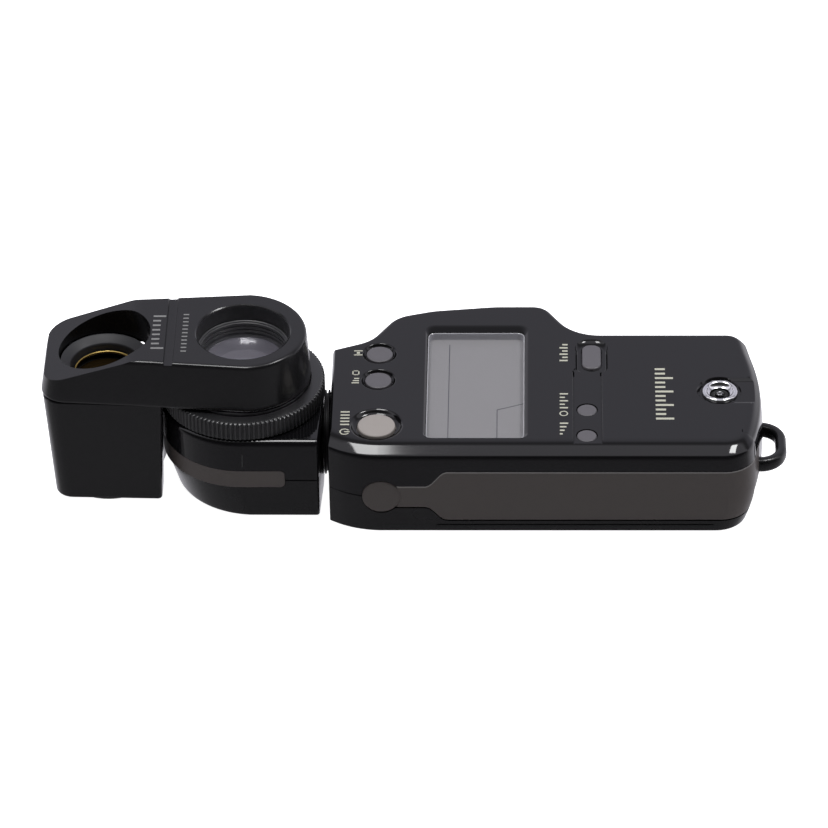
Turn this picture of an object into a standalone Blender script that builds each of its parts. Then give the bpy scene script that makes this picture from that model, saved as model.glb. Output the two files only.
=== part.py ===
"""Handheld light meter: grip body, swivelling receptor head and lift-off spot viewfinder.

Lengths below are in millimetres in a layout frame: X runs along the meter from the viewfinder to
the strap ring, Y from the grip side to the key side, Z up from the table.  make() turns them into
metres and moves the origin to the middle of the footprint.
"""
import math

import bmesh
import bpy
from mathutils import Vector

# ------------------------------------------------------------------ driving sizes
MM = 0.001
GAP = 0.3               # clearance between neighbouring pieces

FINDER_LEFT = -94.3
STRAP_RIGHT = 94.7
BULGE_WIDTH = 65.0
ORIGIN = Vector(((FINDER_LEFT + STRAP_RIGHT) / 2, BULGE_WIDTH / 2, 0.0))

AXIS_Y = 26.2           # centre line of neck, head and viewfinder
NECK_Z = 12.0           # height of the head's swivel axis

BODY_LEFT = -21.5
BODY_RIGHT = 88.0
BODY_WIDTH = 52.2
BODY_TOP = 25.0
PARTING = 10.6
WALL = 2.0
CEILING = 23.3          # underside of the front cover's top wall
FLOOR = 1.8             # inner face of the rear cover
END_BOW = (23.0, 90.0)  # middle and radius of the bowed strap end
NEAR_SWEEP = (-8.0, 23.0)   # start and radius of the curve that narrows the neck end

LCD_OPENING = (3.0, 28.0, 6.2, 52.6, 1.4)   # left, right, near, far, corner radius
KEY_TOP = 24.8
KEY_FLANGE = (22.0, 23.0)
KEY_TRAVEL_ROOM = 20.9                      # top of the rubber domes

POWER = (-9.45, 11.5, 4.8)                  # x, y, cap radius
AVERAGE = (-9.4, 31.0, 3.4)
MEMORY = (-9.3, 42.5, 3.4)
FNUMBER = (43.8, 18.1, 2.5)
FILM_SPEED = (43.7, 7.1, 2.5)
MODE = (42.65, 47.55, 36.1, 46.6, 2.2)      # left, right, near, far, corner radius
SOCKET = (77.65, 26.25)
TRIGGER = (-8.2, 10.7, 4.8)                 # x, z, radius of the measuring button
ROCKER = (10.0, 30.0, 13.0, 20.6)           # left, right, bottom, top
ROCKER_PIVOT = (20.0, 63.7)

SCREWS = ((-16.8, 9.0), (-16.6, 41.4), (78.4, 8.2), (77.8, 45.6))

BATTERY_BAY = (6.0, 75.5, 23.5)             # left, right, far edge of the battery cover
COVER_THICK = 1.9
CELL_RADIUS = 7.1
CELL_AXIS = (11.4, 9.2)                     # y, z
CELL_ENDS = (12.2, 61.4)

HEAD_X = -43.6
HEAD_RADIUS = 21.0
HEAD_RIGHT = -23.4
HEAD_LOW = 0.9
HEAD_TOP = 24.0
HEAD_SEAM = 12.0

RING_RADIUS = 20.8
RING_BORE = 17.4
RING_LOW = 24.3
RING_TOP = 29.3

FINDER_LOW = 30.2
FINDER_TOP = 43.4
LENS_X = -43.2          # metering lens axis
LENS_BORE = 11.85
SIGHT_X = -78.4         # viewfinder axis
SIGHT_BORE = 11.8


# ------------------------------------------------------------------ outlines
def offset_corners(corners, inset):
    """Move each corner of a closed plan inwards so that its edges shift by inset."""
    moved = []
    count = len(corners)
    for i, (x, y, radius) in enumerate(corners):
        here = Vector((x, y))
        back = (here - Vector(corners[i - 1][:2])).normalized()
        ahead = (Vector(corners[(i + 1) % count][:2]) - here).normalized()
        normal_in = Vector((-back.y, back.x))
        normal_out = Vector((-ahead.y, ahead.x))
        here += inset * (normal_in + normal_out) / (1.0 + normal_in.dot(normal_out))
        turn = math.atan2(back.cross(ahead), back.dot(ahead))
        sign = 1.0 if turn > 0 else -1.0
        if radius:
            radius = max(radius - sign * inset, 0.25)
        moved.append((here, back, ahead, turn, radius))
    return moved


def plan_points(corners, inset=0.0, step=22.5):
    """Anticlockwise outline with filleted corners; the count never depends on the inset."""
    points = []
    for here, back, ahead, turn, radius in offset_corners(corners, inset):
        if not radius:
            points.append(here)
            continue
        tangent = radius * math.tan(abs(turn) / 2)
        start = here - back * tangent
        side = Vector((-back.y, back.x)) * math.copysign(radius, turn)
        centre = start + side
        parts = max(1, math.ceil(math.degrees(abs(turn)) / step))
        for k in range(parts + 1):
            angle = turn * k / parts
            arm = -side
            spun = Vector((arm.x * math.cos(angle) - arm.y * math.sin(angle),
                           arm.x * math.sin(angle) + arm.y * math.cos(angle)))
            points.append(centre + spun)
    return points


def body_corners():
    """Plan of the grip body: swept near corner, bowed strap end and display bulge."""
    bow = []
    for y in (8.0, 11.6, 16.5, 22.0, 27.5, 33.0, 38.5, 43.5):
        x = BODY_RIGHT - (y - END_BOW[0]) ** 2 / (2 * END_BOW[1])
        bow.append((x, y, 0.0))
    sweep = []
    for degrees in (29.0, 23.0, 17.0, 11.0, 4.0):
        angle = math.radians(degrees)
        sweep.append((NEAR_SWEEP[0] - NEAR_SWEEP[1] * math.sin(angle),
                      NEAR_SWEEP[1] * (1.0 - math.cos(angle)), 0.0))
    near = sweep + [(85.7, 0.0, 8.0)]
    far = [(84.4, BODY_WIDTH, 5.0), (40.8, BODY_WIDTH, 11.0), (33.0, BULGE_WIDTH, 6.0),
           (20.0, BULGE_WIDTH, 25.0), (4.0, 63.1, 20.0), (-6.8, 60.1, 9.5),
           (-13.2, 49.4, 9.0), (BODY_LEFT, 45.6, 1.2), (BODY_LEFT, 4.35, 0.8)]
    return near + bow + far


def box_corners(left, right, near, far, radius):
    return [(left, near, radius), (right, near, radius), (right, far, radius),
            (left, far, radius)]


# ------------------------------------------------------------------ solids
def level(points, z):
    return [Vector((p.x, p.y, z)) for p in points]


def loft(loops):
    """Closed solid through anticlockwise loops of equal length, capped at both ends."""
    bm = bmesh.new()
    rows = [[bm.verts.new(p) for p in loop] for loop in loops]
    count = len(rows[0])
    for low, high in zip(rows, rows[1:]):
        for i in range(count):
            j = (i + 1) % count
            bm.faces.new((low[i], low[j], high[j], high[i]))
    bm.faces.new(list(reversed(rows[0])))
    bm.faces.new(rows[-1])
    return bm


def prism(corners, low, high, step=30.0):
    points = plan_points(corners, 0.0, step)
    return loft([level(points, low), level(points, high)])


def stepped(corners, steps, step=22.5):
    """Solid whose plan shrinks by each (inset, z) in turn."""
    return loft([level(plan_points(corners, inset, step), z) for inset, z in steps])


def turned(profile, centre, axis="Z", parts=20, hollow=False):
    """Solid of revolution of (radius, height) points; hollow closes the profile on itself."""
    bm = bmesh.new()
    rows = []
    for radius, height in profile:
        ring = []
        for k in range(1 if radius == 0 else parts):
            angle = math.tau * k / parts
            u = radius * math.cos(angle)
            v = radius * math.sin(angle)
            offset = {"X": (height, u, v), "Y": (u, height, v), "Z": (u, v, height)}[axis]
            ring.append(bm.verts.new(Vector(centre) + Vector(offset)))
        rows.append(ring)
    pairs = list(zip(rows, rows[1:]))
    if hollow:
        pairs.append((rows[-1], rows[0]))
    for low, high in pairs:
        for i in range(parts):
            j = (i + 1) % parts
            corners = [low[i % len(low)], low[j % len(low)], high[j % len(high)],
                       high[i % len(high)]]
            unique = list(dict.fromkeys(corners))
            if len(unique) > 2:
                bm.faces.new(unique)
    bmesh.ops.recalc_face_normals(bm, faces=bm.faces)
    return bm


def tube(outer, inner, low, high, centre, axis="Z", parts=20):
    profile = [(inner, low), (outer, low), (outer, high), (inner, high)]
    return turned(profile, centre, axis, parts, hollow=True)


def disc(radius, low, high, centre, axis="Z", parts=20):
    return turned([(0, low), (radius, low), (radius, high), (0, high)], centre, axis, parts)


def swept(points, radius, sides=6):
    """Round wire along a list of points, flat at both ends."""
    bm = bmesh.new()
    rows = []
    for i, here in enumerate(points):
        back = points[max(i - 1, 0)]
        ahead = points[min(i + 1, len(points) - 1)]
        tangent = (ahead - back).normalized()
        side = tangent.cross(Vector((0.0, 0.0, 1.0)))
        if side.length < 0.1:
            side = tangent.cross(Vector((0.0, 1.0, 0.0)))
        side.normalize()
        up = side.cross(tangent)
        rows.append([bm.verts.new(here + radius * (math.cos(math.tau * k / sides) * side
                                                   + math.sin(math.tau * k / sides) * up))
                     for k in range(sides)])
    for low, high in zip(rows, rows[1:]):
        for i in range(sides):
            j = (i + 1) % sides
            bm.faces.new((low[i], low[j], high[j], high[i]))
    bm.faces.new(rows[0])
    bm.faces.new(rows[-1])
    bmesh.ops.recalc_face_normals(bm, faces=bm.faces)
    return bm


# ------------------------------------------------------------------ objects
BLACK = ((0.030, 0.030, 0.033), 0.38, 0.0)
BLACK_SIDE = ((0.016, 0.016, 0.017), 0.32, 0.0)
GRIP_BROWN = ((0.055, 0.046, 0.040), 0.6, 0.0)
GREY_KEY = ((0.16, 0.155, 0.16), 0.45, 0.0)
PALE_KEY = ((0.36, 0.335, 0.31), 0.45, 0.0)
RUBBER = ((0.035, 0.035, 0.036), 0.85, 0.0)
CLEAR = ((0.75, 0.78, 0.80), 0.08, 0.0)
LCD_GREY = ((0.25, 0.245, 0.255), 0.25, 0.0)
BOARD_GREEN = ((0.02, 0.16, 0.07), 0.5, 0.0)
CHROME = ((0.78, 0.78, 0.80), 0.15, 1.0)
STEEL = ((0.45, 0.45, 0.47), 0.35, 1.0)
BRASS = ((0.70, 0.50, 0.16), 0.3, 1.0)
CELL_WRAP = ((0.08, 0.10, 0.14), 0.35, 0.3)
NYLON = ((0.70, 0.69, 0.64), 0.5, 0.0)
GLASS = ((0.60, 0.66, 0.72), 0.05, 0.0)
FILTER = ((0.10, 0.22, 0.42), 0.1, 0.0)
SILICON = ((0.04, 0.05, 0.09), 0.2, 0.2)


def clear_scene():
    for obj in list(bpy.data.objects):
        bpy.data.objects.remove(obj, do_unlink=True)


def make(name, bm, finish, pivot=(0.0, 0.0, 0.0)):
    """Object from a layout-frame mesh, its origin on the pivot given in the same frame."""
    pivot = Vector(pivot)
    for vert in bm.verts:
        vert.co = (vert.co - pivot) * MM
    mesh = bpy.data.meshes.new(name)
    bm.to_mesh(mesh)
    bm.free()
    mesh.shade_smooth()
    mesh.set_sharp_from_angle(angle=math.radians(32))
    colour, roughness, metallic = finish
    material = bpy.data.materials.new(name)
    material.use_nodes = True
    shader = material.node_tree.nodes["Principled BSDF"]
    shader.inputs["Base Color"].default_value = (*colour, 1.0)
    shader.inputs["Roughness"].default_value = roughness
    shader.inputs["Metallic"].default_value = metallic
    mesh.materials.append(material)
    obj = bpy.data.objects.new(name, mesh)
    obj.location = (pivot - ORIGIN) * MM
    bpy.context.scene.collection.objects.link(obj)
    return obj


def boolean(target, bm, operation="DIFFERENCE"):
    """Cut bm from the target, or join it on, with a hidden guide object."""
    guide = make(f"{target.name}_guide", bm, BLACK)
    guide.hide_render = True
    guide.display_type = "WIRE"
    modifier = target.modifiers.new(operation.lower(), "BOOLEAN")
    modifier.operation = operation
    modifier.solver = "EXACT"
    modifier.object = guide


def screw(name, x, y, head_z, length, radius=0.9, head=1.9):
    """Slotted screw driven upwards from a head at head_z."""
    top = head_z + 0.8
    tip = top + length
    profile = [(0, head_z), (head, head_z), (head, top), (radius, top), (radius, tip), (0, tip)]
    obj = make(name, turned(profile, (x, y, 0), parts=12), STEEL)
    slot = box_corners(x - head * 0.7, x + head * 0.7, y - 0.25, y + 0.25, 0.0)
    boolean(obj, prism(slot, head_z - 0.3, head_z + 0.4))


# ------------------------------------------------------------------ grip body shells
def grip_path(inset):
    """Line along the near side and round on to the strap end, at a depth under the skin."""
    start = TRIGGER[0] + TRIGGER[2] + 2 * GAP
    stations = [start, 1.0, 3.3, 4.2, 5.0, 5.8, 6.8, 8.0, 30.0, 55.0]
    path = [Vector((x, inset)) for x in stations]
    right = [p for p in plan_points(body_corners(), inset) if p.x > 60.0 and p.y < 14.0]
    return path + [(a + b) / 2 for a, b in zip(right, right[1:])]


def grip_heights(x):
    """Lower and upper edge of the grip panel: a narrow tongue that opens into the main panel."""
    blend = min(max((x - 3.3) / (8.0 - 3.3), 0.0), 1.0)
    blend = blend * blend * (3 - 2 * blend)
    return 7.3 + (3.5 - 7.3) * blend, 14.0 + (18.5 - 14.0) * blend


def grip_band(outer_inset, inner_inset, margin):
    bm = bmesh.new()
    rows = []
    outer = grip_path(outer_inset)
    inner = grip_path(inner_inset)
    last = len(outer) - 1
    for i, (a, b) in enumerate(zip(outer, inner)):
        low, high = grip_heights(grip_path(0.0)[i].x)
        push = Vector((0.0, 0.0))
        if i in (0, last):
            ahead = (outer[min(i + 1, last)] - outer[max(i - 1, 0)]).normalized()
            push = ahead * margin * (-1 if i == 0 else 1)
        low, high = low - margin, high + margin
        rows.append([bm.verts.new((*(a + push), low)), bm.verts.new((*(a + push), high)),
                     bm.verts.new((*(b + push), high)), bm.verts.new((*(b + push), low))])
    for left, right in zip(rows, rows[1:]):
        for k in range(4):
            n = (k + 1) % 4
            bm.faces.new((left[k], left[n], right[n], right[k]))
    bm.faces.new(rows[0])
    bm.faces.new(rows[-1])
    bmesh.ops.recalc_face_normals(bm, faces=bm.faces)
    return bm


def cut_shared(cover):
    """Openings that cross the parting line, cut alike in both covers."""
    boolean(cover, grip_band(-1.5, 1.05, GAP))
    x, z, radius = TRIGGER
    bore = [(0, -3.0), (radius + GAP, -3.0), (radius + GAP, 2.15), (radius + 1.6, 2.15),
            (radius + 1.6, 5.0), (0, 5.0)]
    boolean(cover, turned(bore, (x, 0, z), "Y", 24))
    boolean(cover, disc(9.3, -4.0, 4.5, (BODY_LEFT, AXIS_Y, NECK_Z), "X", 28))
    for near in (11.8, 26.7):
        slot = box_corners(80.5, 91.0, near, near + 3.5, 0.6)
        boolean(cover, prism(slot, 8.8, 13.2, 45))


def front_cover():
    corners = body_corners()
    seam = PARTING + GAP / 2
    loops = [(WALL + 1.2, CEILING), (WALL, CEILING - 1.3), (WALL, seam), (0.0, seam),
             (0.0, 22.6), (0.6, 24.0), (2.8, BODY_TOP)]
    cover = make("front_cover", stepped(corners, loops), BLACK)
    for x, y in SCREWS:
        boolean(cover, tube(2.05, 1.2, 3.0, CEILING + 0.6, (x, y, 0), parts=10), "UNION")
    boolean(cover, prism(box_corners(*LCD_OPENING), 20.0, 27.0))
    for x, y, radius in (POWER, AVERAGE, MEMORY):
        dish = 1.8 if radius > 4 else 0.9
        rim = radius + GAP
        profile = [(0, 21.0), (rim, 21.0), (rim, 24.2), (radius + dish, BODY_TOP),
                   (radius + dish, 26.0), (0, 26.0)]
        boolean(cover, turned(profile, (x, y, 0), parts=24))
    key_channel = box_corners(40.5, 47.4, 3.6, 33.0, 1.0)
    boolean(cover, prism(key_channel, 24.5, 27.0))
    for x, y, radius in (FNUMBER, FILM_SPEED):
        boolean(cover, disc(radius + GAP, 21.0, 26.0, (x, y, 0), parts=16))
    left, right, near, far, radius = MODE
    bezel = box_corners(left - 1.9, right + 1.7, near - 2.4, far + 3.0, 2.6)
    boolean(cover, prism(bezel, 24.3, 27.0))
    hole = box_corners(left - GAP, right + GAP, near - GAP, far + GAP, radius + GAP)
    boolean(cover, prism(hole, 21.0, 27.0))
    counterbore = [(0, 21.0), (3.9, 21.0), (3.9, 24.2), (5.6, 24.2), (5.6, 27.0), (0, 27.0)]
    boolean(cover, turned(counterbore, (*SOCKET, 0)))
    boolean(cover, prism(box_corners(SOCKET[0], 95.0, 21.2, 31.0, 0.5), 24.5, 27.0, 45))
    left, right, low, high = ROCKER
    opening = [(left - 0.4, 60.0, 0.0), (right + 0.4, 60.0, 0.0), (right + 0.4, 70.0, 0.0),
               (left - 0.4, 70.0, 0.0)]
    boolean(cover, prism(opening, low - 0.4, high + 0.4))
    boolean(cover, disc(1.0, low - 1.4, high + 1.4, (*ROCKER_PIVOT, 0), parts=12))
    cut_shared(cover)


def battery_opening(margin):
    """Plan of the battery cover, open towards the near side."""
    left, right, far = BATTERY_BAY
    return [(left - margin, -4.0 if margin else 0.0, 0.0),
            (right + margin, -4.0 if margin else 0.0, 0.0),
            (right + margin, far + margin, 2.0), (left - margin, far + margin, 2.0)]


def rear_cover():
    seam = PARTING - GAP / 2
    loops = [(1.0, 0.0), (0.3, 0.3), (0.0, 1.0), (0.0, seam), (WALL, seam), (WALL, FLOOR)]
    cover = make("rear_cover", stepped(body_corners(), loops), BLACK_SIDE)
    boolean(cover, prism(battery_opening(GAP), -1.0, COVER_THICK + GAP, 30))
    left, right, far = BATTERY_BAY
    bay = box_corners(left + 2.0, right - 2.0, 2.6, far - 2.0, 1.5)
    boolean(cover, prism(bay, 1.0, 5.0, 30))
    for x, y in SCREWS:
        recess = [(0, -1.0), (2.3, -1.0), (2.3, 1.05), (1.25, 1.05), (1.25, 3.0), (0, 3.0)]
        boolean(cover, turned(recess, (x, y, 0), parts=12))
    cut_shared(cover)


def battery_cover():
    left, right, far = BATTERY_BAY
    outline = [(left, 0.0, 0.0), (right, 0.0, 0.0), (right, far, 1.7), (left, far, 1.7)]
    outer = plan_points(outline, 0.0, 30)
    bevelled = [Vector((p.x, max(p.y, 0.75))) for p in outer]
    edge = [Vector((p.x, max(p.y, 0.2))) for p in outer]
    loops = [level(bevelled, 0.0), level(edge, 0.35), level(outer, 1.0),
             level(outer, COVER_THICK)]
    cover = make("battery_cover", loft(loops), BLACK_SIDE, (40.0, 12.0, 1.0))
    for k in range(6):
        x = 36.0 + 1.6 * k
        rib = box_corners(x, x + 0.8, 3.0, 9.0, 0.0)
        boolean(cover, prism(rib, -0.5, 0.3))


def grip_inlay():
    make("side_grip", grip_band(0.05, 0.75, 0.0), GRIP_BROWN)


# ------------------------------------------------------------------ display and boards
def display():
    left, right, near, far, radius = LCD_OPENING
    pane = box_corners(left - 1.8, right + 1.8, near - 1.6, far + 1.6, 1.0)
    raised = 1.8 + GAP
    lift = [(0.0, 21.9), (0.0, 23.0), (raised, 23.0), (raised, 24.2)]
    make("lcd_window", stepped(pane, lift), CLEAR)
    glass = box_corners(left - 0.9, right + 0.9, near - 0.7, far + 0.7, 0.4)
    make("lcd_panel", prism(glass, 19.9, 21.6), LCD_GREY)
    frame = box_corners(left - 2.4, right + 2.4, near - 2.4, far + 2.4, 1.2)
    loops = [(1.5 - GAP, 21.6), (1.5 - GAP, 18.75), (0.0, 18.75), (0.0, 21.6)]
    rows = [level(plan_points(frame, inset, 30), z) for inset, z in loops]
    rows.append(rows[0])
    make("lcd_holder", ring_loft(rows[:-1]), BLACK)
    make("zebra_connector", prism(box_corners(left, right, far - 2.4, far - 0.4, 0.0), 18.8, 19.6),
         RUBBER)


def ring_loft(loops):
    """Closed ring through loops whose last joins the first, with no caps."""
    bm = bmesh.new()
    rows = [[bm.verts.new(p) for p in loop] for loop in loops]
    count = len(rows[0])
    for low, high in zip(rows, rows[1:] + rows[:1]):
        for i in range(count):
            j = (i + 1) % count
            bm.faces.new((low[i], low[j], high[j], high[i]))
    bmesh.ops.recalc_face_normals(bm, faces=bm.faces)
    return bm


def boards():
    board = [(-14.2, 4.6, 1.0), (71.0, 4.6, 1.0), (71.0, 48.6, 1.0), (32.0, 48.6, 1.0),
             (32.0, 58.4, 1.0), (-3.0, 58.4, 1.0), (-9.0, 48.6, 1.0), (-14.2, 46.0, 1.0)]
    circuit = make("main_circuit_board", prism(board, 17.3, 18.4, 45), BOARD_GREEN)
    for x, y in ((2.0, 30.0), (60.0, 44.0)):
        boolean(circuit, disc(1.2, 16.0, 20.0, (x, y, 0), parts=12))

    left_mat = make("left_keypad", prism(box_corners(-14.0, -3.0, 6.0, 47.0, 1.0), 18.7, 19.5, 45),
                    RUBBER)
    for x, y, radius in (POWER, AVERAGE, MEMORY):
        boolean(left_mat, dome(x, y, radius * 0.7), "UNION")
    right_mat = make("right_keypad", prism(box_corners(39.5, 50.0, 4.8, 48.0, 1.0), 18.7, 19.5, 45),
                     RUBBER)
    for x, y, radius in (FNUMBER, FILM_SPEED, (45.1, 41.35, 2.6)):
        boolean(right_mat, dome(x, y, radius * 0.8), "UNION")


def dome(x, y, radius):
    profile = [(0, 19.0), (radius + 0.6, 19.0), (radius, KEY_TRAVEL_ROOM - 0.3),
               (radius - 0.3, KEY_TRAVEL_ROOM), (0, KEY_TRAVEL_ROOM)]
    return turned(profile, (x, y, 0), parts=8)


# ------------------------------------------------------------------ keys
def round_key(name, place, finish):
    x, y, radius = place
    low, high = KEY_FLANGE
    flange = radius + 0.85
    profile = [(0, low), (flange, low), (flange, high), (radius, high), (radius, KEY_TOP - 0.35),
               (radius - 0.35, KEY_TOP), (0, KEY_TOP - 0.1)]
    make(name, turned(profile, (x, y, 0), parts=16), finish, (x, y, high))


def mode_key():
    left, right, near, far, radius = MODE
    low, high = KEY_FLANGE
    wide = 0.85
    corners = box_corners(left - wide, right + wide, near - wide, far + wide, radius + wide)
    lift = [(0.0, low), (0.0, high), (wide, high), (wide, KEY_TOP - 0.3), (wide + 0.3, KEY_TOP)]
    make("mode_button", stepped(corners, lift, 22.5), GREY_KEY,
         ((left + right) / 2, (near + far) / 2, high))


def trigger():
    x, z, radius = TRIGGER
    flange = radius + 1.2
    profile = [(0, 3.2), (flange, 3.2), (flange, 2.45), (radius, 2.45), (radius, 0.5),
               (radius - 0.3, 0.15), (radius * 0.6, 0.05), (0, 0.05)]
    make("measuring_button", turned(profile, (x, 0, z), "Y", 20), GRIP_BROWN, (x, 2.45, z))


def rocker():
    left, right, low, high = ROCKER
    x, y = ROCKER_PIVOT
    face = y + 0.9
    plan = [(left, y - 1.3, 0.4), (x - 3.0, y - 1.9, 0.0), (x + 3.0, y - 1.9, 0.0),
            (right, y - 1.3, 0.4), (right, face, 0.8), (x + 3.0, face - 0.1, 0.0),
            (x - 3.0, face - 0.1, 0.0), (left, face, 0.8)]
    key = make("updown_rocker", prism(plan, low, high, 30), GREY_KEY, (x, y, (low + high) / 2))
    boolean(key, disc(0.95, low - 1.0, high + 1.0, (x, y, 0), parts=12))
    make("rocker_pin", disc(0.65, low - 1.1, high + 1.1, (x, y, 0), parts=12), STEEL)


# ------------------------------------------------------------------ power, socket and strap
def battery():
    y, z = CELL_AXIS
    start, end = CELL_ENDS
    profile = [(0, start), (CELL_RADIUS, start), (CELL_RADIUS, end), (2.7, end),
               (2.7, end + 1.0), (0, end + 1.0)]
    make("battery_cell", turned(profile, (0, y, z), "X"), CELL_WRAP)
    left, right = start - 5.2, end + 4.6
    tray = box_corners(left, right, 2.7, 20.0, 1.0)
    rows = [(0.9, 16.6), (0.9, 2.6), (0.0, 2.6), (0.0, 16.6)]
    loops = [level(plan_points(tray, inset, 45), height) for inset, height in rows]
    make("battery_tray", ring_loft(loops), BLACK)
    wall = right - 0.9 - GAP
    contact = box_corners(wall - 0.5, wall, y - 4.0, y + 4.0, 0.0)
    make("battery_contact", prism(contact, z - 4.5, z + 4.5), STEEL)
    turns, per_turn = 3.0, 12
    count = int(turns * per_turn)
    coil_start, coil_end = left + 0.9 + GAP + 0.45, start - GAP - 0.45
    coil = []
    for k in range(count + 1):
        share = k / count
        angle = math.tau * turns * share
        radius = 4.4 - 1.6 * share
        coil.append(Vector((coil_start + (coil_end - coil_start) * share,
                            y + radius * math.cos(angle), z + radius * math.sin(angle))))
    make("battery_spring", swept(coil, 0.4, 4), STEEL)


def sync_socket():
    centre = (*SOCKET, 0)
    shell = [(2.6, 17.0), (3.5, 17.0), (3.5, 24.5), (4.6, 24.5), (4.6, 24.9), (2.6, 24.9)]
    make("sync_socket_shell", turned(shell, centre, parts=16, hollow=True), CHROME)
    make("sync_socket_insulator", tube(2.3, 1.05, 17.0, 22.5, centre, parts=16), RUBBER)
    make("sync_socket_pin", turned([(0, 15.5), (0.75, 15.5), (0.75, 23.9), (0.4, 24.3), (0, 24.3)],
                                   centre, parts=10), BRASS)


def strap_ring():
    outline = [(81.1, 12.1, 1.2), (STRAP_RIGHT, 12.1, 6.8), (STRAP_RIGHT, 29.9, 6.8),
               (81.1, 29.9, 1.2)]
    bar = 2.45
    loops = [(bar, 11.0), (bar - 0.8, 9.1), (0.8, 9.1), (0.0, 10.1), (0.0, 11.9), (0.8, 12.9),
             (bar - 0.8, 12.9)]
    rows = [level(plan_points(outline, inset, 30), z) for inset, z in loops]
    make("strap_ring", ring_loft(rows), BLACK_SIDE)


# ------------------------------------------------------------------ neck and head
def neck():
    centre = (0, AXIS_Y, NECK_Z)
    collar = 10.8
    groove = 10.1
    profile = [(4.0, -26.9), (8.4, -26.9), (8.4, -25.7), (6.4, -25.7), (6.4, -23.1),
               (collar, -23.1), (collar, -22.7), (groove, -22.7), (groove, -22.2),
               (collar, -22.2), (collar, -21.8), (6.4, -21.8), (6.4, -18.1), (5.7, -18.1),
               (5.7, -16.9), (4.0, -16.9)]
    make("neck_tube", turned(profile, centre, "X", 20, hollow=True), BLACK)
    make("neck_bush", tube(9.0, 6.7, -21.2, -18.5, centre, "X", 24), NYLON)
    make("neck_retainer", tube(8.2, 6.0, -17.95, -17.25, centre, "X", 20), STEEL)
    make("sensor_lead", disc(1.4, -34.0, -12.0, centre, "X", 8), RUBBER)


def head_corners(shift=0.0):
    """D-shaped plan: square at the neck's near side, half round at the other end.

    The rear of the round end leans towards the neck, so its arc moves by shift there.
    """
    arc = []
    for degrees in range(96, 265, 12):
        angle = math.radians(degrees)
        arc.append((HEAD_X + shift + HEAD_RADIUS * math.cos(angle),
                    AXIS_Y + HEAD_RADIUS * math.sin(angle), 0.0))
    near = AXIS_Y - HEAD_RADIUS
    far = AXIS_Y + HEAD_RADIUS
    return [(HEAD_RIGHT - 0.7, near, 1.0), (HEAD_RIGHT, AXIS_Y - 8.0, 0.0),
            (HEAD_RIGHT, far, 11.0)] + arc


def head_band(outer, inner, low, high, margin):
    """Strip round the half-round end of the head and along both sides to a rounded end."""
    right = -32.5 + margin
    path_outer = []
    path_inner = []
    for radius, path in ((outer, path_outer), (inner, path_inner)):
        path.append(Vector((right, AXIS_Y - radius)))
        for degrees in range(270, 89, -10):
            angle = math.radians(degrees)
            path.append(Vector((HEAD_X + radius * math.cos(angle),
                                AXIS_Y + radius * math.sin(angle))))
        path.append(Vector((right, AXIS_Y + radius)))
    plan = path_outer + path_inner[::-1]
    plan.reverse()
    bm = loft([level(plan, low - margin), level(plan, high + margin)])
    bmesh.ops.recalc_face_normals(bm, faces=bm.faces)
    return bm


def head():
    corners = head_corners()
    pivot = (HEAD_RIGHT, AXIS_Y, NECK_Z)
    seam = HEAD_SEAM
    upper = [(WALL, 22.0), (WALL, seam + GAP / 2), (0.0, seam + GAP / 2), (0.0, 22.9),
             (0.5, 23.6), (1.2, HEAD_TOP)]
    lower = [(1.2, HEAD_LOW, 3.4), (0.3, HEAD_LOW + 0.6, 3.2), (0.0, seam - GAP / 2, 0.0),
             (WALL, seam - GAP / 2, 0.0), (WALL, HEAD_LOW + 1.8, 3.0)]
    front = make("head_front_shell", stepped(corners, upper), BLACK, pivot)
    loops = [level(plan_points(head_corners(shift), inset), z) for inset, z, shift in lower]
    rear = make("head_rear_shell", loft(loops), BLACK_SIDE, pivot)
    screws = ((-30.0, 12.0), (-30.0, 40.4))
    for x, y in screws:
        boolean(front, tube(1.9, 1.1, 4.0, 22.5, (x, y, 0), parts=10), "UNION")
        recess = [(0, 0.0), (2.2, 0.0), (2.2, HEAD_LOW + 1.05), (1.15, HEAD_LOW + 1.05),
                  (1.15, 4.0), (0, 4.0)]
        boolean(rear, turned(recess, (x, y, 0), parts=12))
    for k, (x, y) in enumerate(screws, 1):
        screw(f"head_screw_{k}", x, y, HEAD_LOW + 0.1, 8.0, radius=0.8, head=1.8)
    boolean(front, disc(12.9, 20.0, 26.0, (HEAD_X, AXIS_Y, 0), parts=28))
    inlay_outer = HEAD_RADIUS - 0.05
    for shell in (front, rear):
        boolean(shell, disc(6.7, -4.0, 4.0, (HEAD_RIGHT, AXIS_Y, NECK_Z), "X", 20))
        boolean(shell, head_band(HEAD_RADIUS + 3.0, HEAD_RADIUS - 1.0, 9.9, 14.9, GAP))
    make("head_inlay", head_band(inlay_outer, HEAD_RADIUS - 0.7, 9.9, 14.9, 0.0), GRIP_BROWN,
         pivot)


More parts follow.
